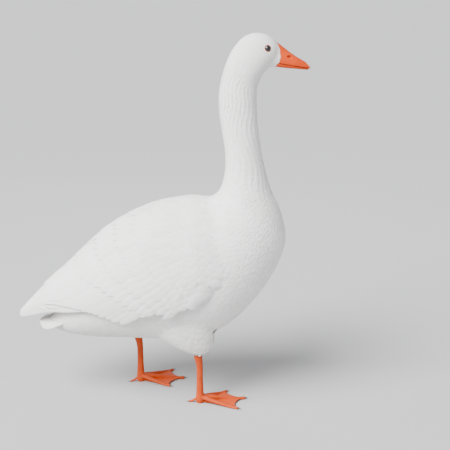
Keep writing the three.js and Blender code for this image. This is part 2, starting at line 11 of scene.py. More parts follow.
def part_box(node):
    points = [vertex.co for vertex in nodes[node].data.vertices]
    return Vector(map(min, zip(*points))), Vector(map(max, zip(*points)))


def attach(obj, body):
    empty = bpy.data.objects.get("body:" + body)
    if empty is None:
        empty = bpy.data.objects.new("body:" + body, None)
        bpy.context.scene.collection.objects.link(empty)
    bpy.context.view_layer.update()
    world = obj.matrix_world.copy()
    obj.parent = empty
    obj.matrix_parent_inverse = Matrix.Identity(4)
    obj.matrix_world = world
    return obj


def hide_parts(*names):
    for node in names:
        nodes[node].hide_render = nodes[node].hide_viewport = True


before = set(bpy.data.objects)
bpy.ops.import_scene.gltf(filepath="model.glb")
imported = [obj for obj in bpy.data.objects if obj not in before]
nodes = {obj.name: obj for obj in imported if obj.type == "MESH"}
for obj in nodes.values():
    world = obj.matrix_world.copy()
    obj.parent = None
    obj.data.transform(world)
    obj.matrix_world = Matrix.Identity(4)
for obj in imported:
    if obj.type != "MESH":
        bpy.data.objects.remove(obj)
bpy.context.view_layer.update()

# The body with its coat. Each rib is back x, back z, belly x, belly z, half width, and how far the
# widest place sits towards the belly. Millimetres, tail first. Along is 0 at the first rib, 1 at the last.
body = {
    "forward": 11,  # from the ribs' zero to the model's
    "ribs": [
        (-302, 205, -298, 185, 20, 0),
        (-270, 240, -264, 172, 42, 0),
        (-238, 289, -228, 165, 66, 0),
        (-192, 350, -186, 161, 90, .01),
        (-134, 417, -136, 160, 112, .02),
        (-66, 462, -74, 160, 126, .04),
        (0, 491, -4, 159, 133, .05),
        (54, 508, 66, 162, 133, .05),
        (94, 517, 136, 184, 129, .04),
        (120, 526, 200, 236, 121, .03),
        (134, 540, 260, 314, 108, .02),
        (142, 560, 298, 404, 90, 0),
        (146, 583, 288, 480, 70, 0),
        (148, 612, 260, 546, 55, 0),
        (145, 650, 241, 618, 45, 0),
        (138, 692, 231, 682, 41, 0),
        (132, 736, 226, 732, 39, 0),
        (132, 780, 225, 774, 37.5, 0),
        (139, 818, 228, 798, 36, .01),
        (150, 851, 233, 812, 35.5, .03),
        (166, 883, 238, 822, 35, .06),
        (189, 909, 244, 829, 34.5, .08),
        (215, 920, 250, 836, 33, .08),
        (241, 918, 257, 843, 29.5, .06),
        (262, 907, 265, 851, 24, .04),
        (274, 893, 272, 860, 16, 0),
    ],
    "fullness": .92,  # below 1 a section is fuller than an ellipse
    "ribSlack": (1.15, 6, 4),  # a rib reaches this many times its height and more; what is beyond weighs so
    "coatDepth": [(0, 2.4), (.1, 2.8), (.4, 2.8), (.55, 2.1), (.75, 1.4), (.86, 1.0), (1, .8)],
    "furrows": 25,  # grooves round the neck
    "furrowDepth": 1.5,
    "furrowed": (.44, .53, .70, .77),  # where along they start, are full, still are, and end
    "furrowWander": ((7, 60, 0), (5, 23, 2)),  # degrees, and waves along and round
    "furrowTwist": (40, .6),  # how much they wind along the neck, and from where
    "voxel": 3.4,
    "smoothing": 4,
    "thighInset": 3,
}

# The outside of the folded wings, as ribs of the same kind, shoulder first.
wings = {
    "ribs": [
        (110, 528, 190, 212, 131, .04),
        (78, 524, 112, 166, 141, .05),
        (32, 519, 48, 146, 147, .06),
        (-28, 506, -22, 144, 148, .06),
        (-88, 481, -90, 145, 140, .05),
        (-148, 445, -152, 152, 124, .04),
        (-202, 398, -206, 162, 102, .03),
        (-250, 351, -252, 176, 79, .02),
        (-295, 312, -297, 190, 57, 0),
        (-338, 268, -338, 196, 29, 0),
        (-380, 221, -378, 203, 1, 0),
    ],
    "runLength": 530,
    # Roots and tips as (along, degrees round) from the lowest feather to the highest.
    "quills": {
        "primaries": dict(count=11, roots=[(.5, 96), (.54, 20)], tips=[(.995, 86), (.985, 5)],
                          width=(24, 34), crown=-1.3),
        "innerPrimaries": dict(count=5, roots=[(.6, 80), (.6, 12)], tips=[(.98, 72), (.968, 5)],
                               width=(22, 24), crown=-7),
        "secondaries": dict(count=15, roots=[(.25, 84), (.5, 60)], tips=[(.43, 111), (.83, 72)],
                            width=(30, 30), crown=-.4),
        "tertials": dict(count=7, roots=[(.38, 60), (.36, 9)], tips=[(.80, 66), (.83, 13)],
                         width=(38, 40), crown=.9),
    },
    # Rows of small feathers, each from the back down to the wing's lower edge. For these degrees round:
    # how far along each row's tips are, and how much the feathers turn down.
    "rowDegrees": (4, 35, 60, 85, 106),
    "rowTips": [
        (.155, .150, .130, .095, .060),
        (.205, .198, .172, .130, .088),
        (.262, .252, .220, .170, .115),
        (.325, .314, .275, .213, .147),
        (.395, .384, .338, .262, .182),
        (.475, .462, .410, .318, .222),
        (.565, .550, .492, .385, .268),
        (.665, .652, .596, .470, .330),
    ],
    "rowDroop": (0, 14, 52, 105, 142),
    # Lengths and widths at a row's top and bottom.
    "rowLength": [(40, 30), (44, 31), (49, 33), (55, 37), (62, 42), (70, 50), (80, 60), (92, 76)],
    "rowWidth": [(23, 20), (25, 21), (27, 22), (29, 23), (31, 24), (33, 25), (35, 27), (38, 29)],
    "rowPitch": .60,
    "rowStart": [(0, 84), (.1, 92), (.2, 102), (.27, 106)],  # its lowest place, by how far along its tip is
    "rowCrown": (.6, .6, .6, .6, .5, .4, .2, 0),
    "rowSlope": (.045, .030),  # how fast each feather sinks towards its root, first and last row
    "quillSlope": .024,
    "crown": 1.2,  # how far tips stand above the wing's surface
    "uneven": dict(tips=(.003, .6), width=.015, height=.15),  # tips stray by so much along and round
    "lastTip": .995,
    "lowerEdge": [(0, 84), (.06, 88), (.15, 97), (.3, 104), (.43, 105), (.65, 90), (.83, 78), (1, 78)],
    "frontSink": [(0, 9), (.06, 4.5), (.12, 0)],  # how much deeper the feathers' roots lie at the front
    "ridge": dict(rows=13, along=(.11, .84), length=(40, 84), width=(26, 34), crown=1.1,
                  columns=((-3.3, 3.3), (-6.4, 0, 6.4))),
    # What lies under the feathers, as depths below the surface.
    "core": dict(start=0, end=.84, depth=[(0, 14), (.05, 8.5), (.1, 6.5), (.16, 7.5), (1, 9.5)],
                 innerDepth=(28, 17), top=(-3, 6), bottom=(78, 94), middle=43, sweep=.05),
}

head = {
    "pitch": -13,
    "origin": (248, 880),
    "eye": dict(ahead=-2, above=4, out=22.8, radius=8.8),
    # how far ahead on the bill the feathered skin reaches at each height, how much less near the bill's
    # middle, and the skin's thickness there
    "billLine": [(-36, 25), (-28, 32), (-20, 36), (-10, 36.5), (0, 34), (10, 29), (20, 22), (25, 18)],
    "billMiddle": [(0, 4), (6, 2), (12, 0)],
    "collar": .9,
    "collarEdge": 2.5,  # how far behind that line the skin surely covers the bill
    "collarReach": 4,  # how deep the bill may lie under it there
}

colours = {
    "feather": (.87, .865, .85),
    "featherShade": (.78, .775, .76),
    "featherLight": (.90, .895, .885),
    # warm tint for the underside, partly dust and partly painted shade
    "shaft": (.80, .76, .66),
    "dustAndShade": (.66, .61, .56),
    "bill": (.54, .055, .003),
    "billBase": (.42, .036, .002),
    "nail": (.74, .46, .28),
    "leg": (.60, .066, .003),
    "claw": (.10, .065, .045),
    "lid": (.55, .16, .06),
    "iris": (.006, .009, .016),
    "pupil": (.002, .002, .003),
}


# Ribs and other measures
def smoothRun(rows, count=700):
    # many more rows, on a smooth curve through the given ones
    rows = np.array(rows, float)
    place = np.linspace(0, len(rows) - 1, count)
    at = np.minimum(place.astype(int), len(rows) - 2)
    f = (place - at)[:, None]
    wide = np.vstack([2 * rows[0] - rows[1], rows, 2 * rows[-1] - rows[-2]])
    a, b, c, d = [wide[at + step] for step in range(4)]
    return .5 * (2 * b + (c - a) * f + (2 * a - 5 * b + 4 * c - d) * f**2 + (3 * b - a - 3 * c + d) * f**3)


def rowAt(run, along):
    where = np.linspace(0, 1, len(run))
    return [np.interp(along, where, column) for column in run.T]


def unit(rows):
    return rows / np.maximum(1e-9, np.linalg.norm(rows, axis=-1, keepdims=True))


def ramp(x, table):
    return np.interp(x, [row[0] for row in table], [row[1] for row in table])


def between(pair, share):
    # from the first to the second of a pair of numbers or rows
    first, last = np.array(pair, float)
    return first + np.multiply.outer(share, last - first)


def smoothStep(x, low, high):
    t = np.clip((x - low) / (high - low), 0, 1)
    return t * t * (3 - 2 * t)


def window(x, start, full, still, end):
    return smoothStep(x, start, full) * (1 - smoothStep(x, still, end))


skinRun = smoothRun(body["ribs"])
wingRun = smoothRun(wings["ribs"])


def onRibs(run, along, degrees, out=0.0, side=1):
    # points at a place along the run and round it, in metres
    backX, backZ, bellyX, bellyZ, half, low = rowAt(run, along)
    turn = np.radians(degrees)
    share = (1 - np.cos(turn)) / 2
    down = share + 4 * low * share * (1 - share)
    dx, dz = bellyX - backX, bellyZ - backZ
    outward = np.cos(turn) * out / np.hypot(dx, dz)
    aside = np.sin(turn)
    x = backX + dx * down - outward * dx + body["forward"]
    y = np.sign(aside) * np.abs(aside) ** body["fullness"] * half + aside * out
    return np.stack([x, y * side, backZ + dz * down - outward * dz], -1) / 1000


def ribFrames(run):
    chord = run[:, 0:2] - run[:, 2:4]
    high = np.linalg.norm(chord, axis=1) / 2
    up = chord / (2 * high[:, None])
    return dict(where=np.linspace(0, 1, len(run)), centre=(run[:, 0:2] + run[:, 2:4]) / 2, high=high, up=up,
                ahead=np.stack([up[:, 1], -up[:, 0]], -1), half=run[:, 4])


bodyFrames = ribFrames(skinRun)


def placeOnBody(points, chunk=20000):
    # where each point lies along the ribs and round them, and the way ahead there
    frames = bodyFrames
    times, plus, weight = body["ribSlack"]
    flat = points[:, [0, 2]] * 1000 - (body["forward"], 0)
    best = np.empty(len(points), int)
    above = np.empty(len(points))
    for start in range(0, len(points), chunk):
        part = slice(start, start + chunk)
        off = flat[part, None] - frames["centre"]
        forward = (off * frames["ahead"]).sum(-1)
        up = (off * frames["up"]).sum(-1)
        beyond = np.maximum(0, np.abs(up) - frames["high"] * times - plus)
        best[part] = np.argmin(np.abs(forward) + beyond * weight, axis=1)
        above[part] = np.take_along_axis(up, best[part, None], 1)[:, 0]
    way = frames["ahead"][best]
    tall = above / frames["high"][best]
    broad = points[:, 1] * 1000 / frames["half"][best]
    return (frames["where"][best], np.degrees(np.arctan2(broad, tall)),
            np.stack([way[:, 0], np.zeros(len(way)), way[:, 1]], -1))


# The head's own directions: places on it are millimetres ahead, above and to the left of its origin.
pitch = math.radians(head["pitch"])
headForward = np.array([math.cos(pitch), 0, math.sin(pitch)])
headUpward = np.array([-math.sin(pitch), 0, math.cos(pitch)])


def headPoint(ahead, above, left):
    origin = (head["origin"][0] + body["forward"], left, head["origin"][1])
    return Vector(origin + ahead * headForward + above * headUpward) / 1000


def onHead(points):
    # how far ahead and above points are
    off = (points - np.array(headPoint(0, 0, 0))) * 1000
    return off @ headForward, off @ headUpward


# Meshes
def newObject(name, data):
    piece = bpy.data.objects.new(name, data)
    bpy.context.scene.collection.objects.link(piece)
    return piece


def meshFrom(bm, name):
    mesh = bpy.data.meshes.new(name)
    bm.to_mesh(mesh)
    bm.free()
    mesh.polygons.foreach_set("use_smooth", np.ones(len(mesh.polygons), bool))
    return mesh


def dress(piece, material, slot, *replaced):
    # a finished piece of the model, and the CAD nodes that it stands for
    piece.data.materials.append(material)
    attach(piece, "root")
    if replaced:
        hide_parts(*replaced)


def copyOf(nodeNames):
    # the CAD nodes' faces in one bmesh, with their doubles merged
    bm = bmesh.new()
    for name in nodeNames:
        bm.from_mesh(nodes[name].data)
    bmesh.ops.remove_doubles(bm, verts=bm.verts, dist=1e-6)
    return bm


def modified(forms, kind, **settings):
    # the first form after one modifier, which may use the second form
    pieces = [newObject("spare", meshFrom(form, "spare")) for form in forms]
    change = pieces[0].modifiers.new("change", kind)
    if len(pieces) > 1:
        change.object = pieces[1]
    for key, value in settings.items():
        setattr(change, key, value)
    result = bmesh.new()
    result.from_object(pieces[0], bpy.context.evaluated_depsgraph_get())
    for piece in pieces:
        mesh = piece.data
        bpy.data.objects.remove(piece)
        bpy.data.meshes.remove(mesh)
    return result


def evened(bm, factor, times):
    for _ in range(times):
        bmesh.ops.smooth_vert(bm, verts=bm.verts, factor=factor, use_axis_x=True, use_axis_y=True,
                              use_axis_z=True)


def remeshed(bm, voxel, smoothing, name):
    # one closed skin round everything in bm, with quads of one size
    bm = modified([bm], "REMESH", mode="VOXEL", voxel_size=voxel)
    evened(bm, .5, smoothing)
    bmesh.ops.recalc_face_normals(bm, faces=bm.faces)
    return newObject(name, meshFrom(bm, name))


def closed(bm):
    # its doubles merged, its ends filled and its faces turned out
    bmesh.ops.remove_doubles(bm, verts=bm.verts, dist=1e-6)
    bmesh.ops.holes_fill(bm, edges=[e for e in bm.edges if e.is_boundary], sides=0)
    bmesh.ops.recalc_face_normals(bm, faces=bm.faces)
    return bm


def tube(steps, sides, place):
    # a closed tube from a grid: place(along, around) gives points for shares of 0 to 1
    bm = bmesh.new()
    bmesh.ops.create_grid(bm, x_segments=sides, y_segments=steps, size=.5)
    around = np.array([v.co.x + .5 for v in bm.verts])
    along = np.array([v.co.y + .5 for v in bm.verts])
    for v, point in zip(bm.verts, place(along, around)):
        v.co = point
    return closed(bm)


def readRows(source, name, columns, kind=np.float32):
    flat = np.empty(len(source) * columns, kind)
    source.foreach_get(name, flat)
    return flat.reshape(-1, columns)


def coordinates(mesh):
    return readRows(mesh.vertices, "co", 3).astype(float)


def normalsOf(mesh):
    return readRows(mesh.vertex_normals, "vector", 3).astype(float)


def moveTo(mesh, points):
    mesh.vertices.foreach_set("co", points.astype(np.float32).ravel())
    mesh.update()


def treeOf(points, faces):
    return BVHTree.FromPolygons([tuple(point) for point in points], [tuple(face) for face in faces])


def facesOf(mesh):
    return [tuple(polygon.vertices) for polygon in mesh.polygons]


def treeIn(bm):
    tree = BVHTree.FromBMesh(bm)
    bm.free()
    return tree


def nearestTo(tree, points):
    # for each point the nearest place on the tree's faces, the way out there, the face and the gap
    return [np.array(rows) for rows in zip(*[tree.find_nearest(Vector(point)) for point in points])]


# Materials
def setInput(tree, socket, value):
    if isinstance(value, bpy.types.NodeSocket):
        tree.links.new(value, socket)
    else:
        socket.default_value = value


def addNode(tree, kind, inputs=(), **settings):
    # inputs are by name or number, and are values or other nodes' outputs
    node = tree.nodes.new(kind)
    for key, value in settings.items():
        setattr(node, key, value)
    for key, value in dict(inputs).items():
        setInput(tree, node.inputs[key], value)
    return node


def newMaterial(name):
    material = bpy.data.materials.new(name)
    material.use_nodes = True
    tree = material.node_tree
    return material, tree, addNode(tree, "ShaderNodeTexCoord").outputs["Object"]


def mathNode(tree, operation, *values):
    return addNode(tree, "ShaderNodeMath", enumerate(values), operation=operation).outputs[0]


def noiseOn(tree, place, scale, detail=3.0, rough=.55):
    inputs = {"Vector": place, "Scale": scale, "Detail": detail, "Roughness": rough}
    return addNode(tree, "ShaderNodeTexNoise", inputs).outputs["Fac"]


def heightOf(tree, vector):
    return addNode(tree, "ShaderNodeSeparateXYZ", {"Vector": vector}).outputs["Z"]


def eased(tree, value, span, results):
    # the value's place in a span, eased into a span of results
    inputs = {"Value": value, "From Min": span[0], "From Max": span[1], "To Min": results[0],
              "To Max": results[1]}
    return addNode(tree, "ShaderNodeMapRange", inputs, interpolation_type="SMOOTHSTEP").outputs["Result"]


def mixed(tree, share, first, second):
    inputs = {0: share, 6: first, 7: second}
    return addNode(tree, "ShaderNodeMix", inputs, data_type="RGBA").outputs[2]


def colourRamp(tree, factor, stops):
    node = addNode(tree, "ShaderNodeValToRGB", {"Fac": factor})
    elements = node.color_ramp.elements
    while len(elements) < len(stops):
        elements.new(.5)
    for element, (place, colour) in zip(elements, stops):
        element.position = place
        element.color = (*colour, 1)
    return node.outputs["Color"]


def scaled(colour, times, plus=0):
    return tuple(min(1, part * times + plus) for part in colour)


def shade(tree, colour, bump, settings):
    # the shader's colour, its bump as (height, strength, distance), and its other inputs by name
    inputs = {"Base Color": colour, **settings}
    if bump:
        node = addNode(tree, "ShaderNodeBump", zip(("Height", "Strength", "Distance"), bump))
        inputs["Normal"] = node.outputs["Normal"]
    for key, value in inputs.items():
        setInput(tree, tree.nodes["Principled BSDF"].inputs[key], value)


def mottledMaterial(name, tone, stops, bump, roughness):
    # a colour that wanders with noise: tone and bump start with a noise's scale and detail
    material, tree, place = newMaterial(name)
    height = bump and (noiseOn(tree, place, *bump[:2]), *bump[2:])
    shade(tree, colourRamp(tree, noiseOn(tree, place, *tone), stops), height, {"Roughness": roughness})
    return material


def dustAndShadeBelow(tree, place, colour):
    # a faint warm tint, darker towards the bottom: partly dust and partly painted shade on the underside
    share = mathNode(tree, "MULTIPLY", eased(tree, heightOf(tree, place), (.30, .15), (0, .55)),
                     noiseOn(tree, place, 11))
    return mixed(tree, share, colour, (*colours["dustAndShade"], 1))


def featherMaterial(name, barbScale, bump, withShaft):
    material, tree, place = newMaterial(name)
    vane = addNode(tree, "ShaderNodeUVMap", uv_map="vane").outputs["UV"]
    split = addNode(tree, "ShaderNodeSeparateXYZ", {"Vector": vane}).outputs
    aside = mathNode(tree, "ABSOLUTE", split["X"])
    # barbs run out and forward from the shaft
    run = mathNode(tree, "MULTIPLY_ADD", aside, -.9, split["Y"])
    barbs = mathNode(tree, "SINE", mathNode(tree, "MULTIPLY", run, barbScale))
    height = mathNode(tree, "MULTIPLY_ADD", barbs, .5, noiseOn(tree, place, 420, 2.0))
    tone = addNode(tree, "ShaderNodeAttribute", attribute_name="tone").outputs["Fac"]
    patch = mathNode(tree, "MULTIPLY", noiseOn(tree, place, 9), .45)
    stops = [(.1, colours["featherShade"]), (.45, colours["feather"]), (.9, colours["featherLight"])]
    colour = colourRamp(tree, mathNode(tree, "MULTIPLY_ADD", tone, .55, patch), stops)
    if withShaft:
        line = colourRamp(tree, aside, [(.03, (1, 1, 1)), (.07, (0, 0, 0))])
        height = mathNode(tree, "MULTIPLY_ADD", line, 2.5, height)
        colour = mixed(tree, mathNode(tree, "MULTIPLY", line, .6), colour, (*colours["shaft"], 1))
    # the underside gets a warm tint, partly dust and partly painted shade
    shade(tree, dustAndShadeBelow(tree, place, colour), (height, bump, .0006),
          {"Roughness": .68, "Sheen Weight": .12, "Specular IOR Level": .3})
    return material


def skinMaterial():
    material, tree, place = newMaterial("featherSkin")
    stops = [(.2, colours["featherShade"]), (.7, colours["feather"])]
    # the underside gets a warm tint, partly dust and partly painted shade
    colour = dustAndShadeBelow(tree, place, colourRamp(tree, noiseOn(tree, place, 14), stops))
    shade(tree, colour, (noiseOn(tree, place, 300, 4.0), .5, .0008),
          {"Roughness": .85, "Specular IOR Level": .25})
    return material


# Skin
def furrowHeight(along, degrees):
    # ridges of feathers round the neck, which wind a little towards the breast
    turn = np.radians(degrees)
    wander = sum(size * np.sin(along * waves + turn * turns) for size, waves, turns in body["furrowWander"])
    twist, start = body["furrowTwist"]
    wave = np.cos(np.radians(degrees + wander) * body["furrows"] + twist * (along - start))
    return body["furrowDepth"] * window(along, *body["furrowed"]) * (wave * .5 - .5)


def trunkForm():
    def place(along, around):
        return onRibs(skinRun, along, around * 360, -ramp(along, body["coatDepth"]))

    return tube(200, 72, place)


def wingCore(side):
    core = wings["core"]
    corners = (0, .45, .5, .95, 1)  # down the outside, in, up the inside and out

    def place(along, around):
        top = between(core["top"], along)
        bottom = between(core["bottom"], np.sin(np.pi * np.minimum(.5, along)))
        degrees = top + (bottom - top) * np.interp(around, corners, (0, 1, 1, 0, 0))
        inward = np.interp(around, corners, (0, 0, 1, 1, 0))
        front = core["start"] + core["sweep"] * (1 - along) * (degrees / core["middle"] - 1) ** 2
        outer = ramp(along, core["depth"])
        inner = between(core["innerDepth"], along)
        return onRibs(wingRun, front + (core["end"] - front) * along, degrees,
                      -(outer + (inner - outer) * inward), side)

    return tube(40, 60, place)


def onBillBase(points):
    # true on the base of the bill, behind the line where the feathers end
    ahead, above = onHead(points)
    return ahead < ramp(above, head["billLine"]) - ramp(np.abs(points[:, 1]) * 1000, head["billMiddle"])


def collar(mesh):
    # the skin round the base of one half of the bill
    bm = bmesh.new()
    bm.from_mesh(mesh)
    behind = onBillBase(np.array([v.co[:] for v in bm.verts]))
    bmesh.ops.delete(bm, geom=[v for v, keep in zip(bm.verts, behind) if not keep], context="VERTS")
    bmesh.ops.holes_fill(bm, edges=[e for e in bm.edges if e.is_boundary], sides=0)
    bm.normal_update()
    for v in bm.verts:
        v.co += v.normal * head["collar"] / 1000
    return bm


def makeSkin(billPieces):
    whole = trunkForm()
    thighs = [copyOf(["thigh_left"]), copyOf(["thigh_right"])]
    inset = body["thighInset"] / 1000
    for thigh in thighs:
        evened(thigh, .3, 1)
        for v in thigh.verts:
            v.co -= v.normal * inset
    for part in [wingCore(1), wingCore(-1), *thighs, *[collar(piece.data) for piece in billPieces]]:
        spare = meshFrom(part, "spare")
        whole.from_mesh(spare)
        bpy.data.meshes.remove(spare)
    skin = remeshed(whole, body["voxel"] / 1000, body["smoothing"], "skin")
    points = coordinates(skin.data)
    along, degrees, _ = placeOnBody(points)
    points += normalsOf(skin.data) * furrowHeight(along, degrees)[:, None] / 1000
    # behind the line of feathers no part of the bill comes through
    shells = [treeOf(coordinates(piece.data), facesOf(piece.data)) for piece in billPieces]
    thick = head["collar"] / 1000
    covered = onBillBase(points + (head["collarEdge"] / 1000, 0, 0)) & (points[:, 2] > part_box("head")[0][2])
    for i in np.flatnonzero(covered):
        for shell in shells:
            near, way, _, gap = shell.find_nearest(Vector(points[i]))
            if (Vector(points[i]) - near).dot(way) < thick and gap < head["collarReach"] / 1000:
                points[i] = near + way * head["collar"] / 1000
    moveTo(skin.data, points)
    dress(skin, skinMaterial(), "feather", "torso", "neck_lower", "neck_upper", "head", "tail", "wing_left",
          "wing_right", "thigh_left", "thigh_right")
    return skin


# Feathers
def featherForm(across, steps, profile, camber):
    # one closed feather: along is 0 to 1, raw is -1 to 1 across it, aside is raw times its profile, rise
    # is its camber, and face is 1 on top, -1 underneath and 0 at the rim
    bm = bmesh.new()
    bmesh.ops.create_grid(bm, x_segments=across, y_segments=steps, size=.5)
    for v in bm.verts:
        v.co.z = 0 if v.is_boundary else .5
    twin = bmesh.ops.duplicate(bm, geom=bm.verts[:] + bm.edges[:] + bm.faces[:])["geom"]
    for v in [one for one in twin if isinstance(one, bmesh.types.BMVert)]:
        v.co.z = -v.co.z
    bmesh.ops.reverse_faces(bm, faces=[one for one in twin if isinstance(one, bmesh.types.BMFace)])
    bmesh.ops.remove_doubles(bm, verts=bm.verts, dist=1e-5)
    bm.verts.ensure_lookup_table()
    spots = np.array([v.co[:] for v in bm.verts])
    faces = np.array([[v.index for v in f.verts] for f in bm.faces])
    bm.free()
    along = (spots[:, 1] + .5) ** profile["bunch"]
    raw = spots[:, 0] * 2
    aside = raw * np.interp(along, profile["at"], profile["wide"])
    along = along - profile["bow"] * raw**2 * along**4
    return dict(along=along, aside=aside, raw=raw, face=np.sign(spots[:, 2]), rise=-camber * aside**2,
                faces=faces)


# A profile is half widths at places along. Bunch below 1 puts more faces near the tip, and bow rounds it.
tipBroad = dict(at=[0, .1, .3, .6, .82, .93, 1], wide=[.35, .62, .9, 1, .96, .84, .62], bunch=.8, bow=.20)
tipQuill = dict(at=[0, .1, .3, .65, .85, .95, 1], wide=[.4, .7, .92, 1, .86, .68, .46], bunch=.85, bow=.045)
tipSmall = dict(at=[0, .3, .65, 1], wide=[.4, .9, 1, .62], bunch=1, bow=.24)
forms = {
    "body": featherForm(4, 5, tipBroad, .05),
    "neck": featherForm(2, 4, tipSmall, .12),
    "head": featherForm(2, 3, tipSmall, .1),
    "covert": featherForm(4, 7, dict(tipBroad, bow=.16), 0),
    "quill": featherForm(6, 16, tipQuill, 0),
}
bakePatch = .003  # the breadth of each feather's patch in its map


def joinFeathers(name, form, points, uvRoots, vaneUv, tones, material):
    # one mesh from many feathers of one form; points is feathers x vertices x 3
    count, each = points.shape[:2]
    faces = form["faces"]
    corners = (faces[None] + np.arange(count)[:, None, None] * each).reshape(-1)
    mesh = bpy.data.meshes.new(name)
    mesh.vertices.add(count * each)
    mesh.loops.add(len(corners))
    mesh.polygons.add(count * len(faces))
    mesh.vertices.foreach_set("co", points.astype(np.float32).ravel())
    mesh.polygons.foreach_set("loop_start", np.arange(0, len(corners), faces.shape[1], dtype=np.int32))
    mesh.loops.foreach_set("vertex_index", corners.astype(np.int32))
    mesh.update(calc_edges=True)
    spread = np.stack([form["raw"] * bakePatch / 2, (form["along"] - .5) * bakePatch], -1)
    for layer, places in (("OFBake", uvRoots[:, None] + spread), ("vane", vaneUv)):
        uv = places.reshape(-1, 2)[corners].astype(np.float32)
        mesh.uv_layers.new(name=layer).data.foreach_set("uv", uv.ravel())
    tone = mesh.attributes.new("tone", "FLOAT", "POINT")
    tone.data.foreach_set("value", np.repeat(tones, each).astype(np.float32))
    mesh.polygons.foreach_set("use_smooth", np.ones(len(mesh.polygons), bool))
    # the rim stays sharp, so that a thin vane isn't shaded as a cushion
    ends = readRows(mesh.edges, "vertices", 2, np.int32) % each
    sharp = mesh.attributes.get("sharp_edge") or mesh.attributes.new("sharp_edge", "BOOLEAN", "EDGE")
    sharp.data.foreach_set("value", (form["face"][ends] == 0).all(1))
    mesh.update()
    dress(newObject(name, mesh), material, "feather")


def layOnSkin(name, form, laid, thick, surface, cover, rng, material):
    # feathers that start at roots on the skin and follow it backwards, all sizes in millimetres
    roots, normals, onWing, lifts = laid["roots"], laid["normals"], laid["onWing"], laid["lifts"]
    count = len(roots)
    back = unit((laid["aheads"] * normals).sum(1, keepdims=True) * normals - laid["aheads"])
    turn = rng.normal(0, coat["stray"], count)[:, None]
    back = unit(back * np.cos(turn) + np.cross(normals, back) * np.sin(turn))
    length = (laid["lengths"] * rng.uniform(*coat["lengths"], count))[:, None] / 1000

    def rest(share, lift):
        # where the feathers lie at this share of their length, and the way out there
        seats = roots + back * length * share
        ways = np.empty_like(seats)
        raised = lift / 1000
        for i, spot in enumerate(seats):
            near, _, face, _ = surface["tree"].find_nearest(Vector(spot))
            way = Vector(surface["ways"][face])
            if onWing[i]:
                hit, _, face, _ = cover["tree"].ray_cast(near, way, coat["wingDepth"] / 1000)
                if hit is not None and belowEdge(cover["places"][face]) < coat["edgeMargin"]:
                    near = hit
                    raised[i] = coat["overWing"] / 1000 * (1.6 * share - .6)
            seats[i] = near
            ways[i] = way
        return seats + ways * raised[:, None], ways

    sunk = coat["rootDepth"]
    start = np.where(onWing[:, None], rest(0.0, lifts * 0)[0] - normals * sunk["onWing"] / 1000,
                     roots - normals * sunk["onSkin"] / 1000)
    middle, middleWay = rest(.5, lifts * coat["middleLift"])
    end, endWay = rest(1.0, lifts * rng.uniform(*coat["sizes"], count))
    bend = 2 * middle - (start + end) / 2
    t, aside, rise, face = [form[key][None, :, None] for key in ("along", "aside", "rise", "face")]
    curve = (1 - t) ** 2 * start[:, None] + 2 * t * (1 - t) * bend[:, None] + t**2 * end[:, None]
    slope = unit(2 * (1 - t) * (bend - start)[:, None] + 2 * t * (end - bend)[:, None])
    way = unit(normals[:, None] * (1 - t) + unit(endWay + middleWay)[:, None] * t)
    across = unit(np.cross(way, slope))
    half = (laid["widths"] * rng.uniform(*coat["sizes"], count))[:, None, None] / 2000
    shape = (count, t.shape[1], 1)
    edge = aside * (1 + rng.normal(0, coat["ragged"], shape))
    raised = rise * half * 2 + face * thick / 2000
    points = curve + across * edge * half + np.cross(slope, across) * raised
    points = points + slope * (t > .99) * rng.normal(0, coat["ragged"], shape) * length[:, None]
    vaneUv = np.stack([form["aside"] * half[:, :, 0] * 100,
                       form["along"] * length * 100 + rng.uniform(0, 1, (count, 1))], -1)
    tones = rng.uniform(0, 1, count)
    most = coat["mostFaces"] // len(form["faces"])
    for number, first in enumerate(range(0, count, most)):
        part = slice(first, first + most)
        joinFeathers(name + str(number + 1), form, points[part], laid["uvRoots"][part], vaneUv[part],
                     tones[part], material)


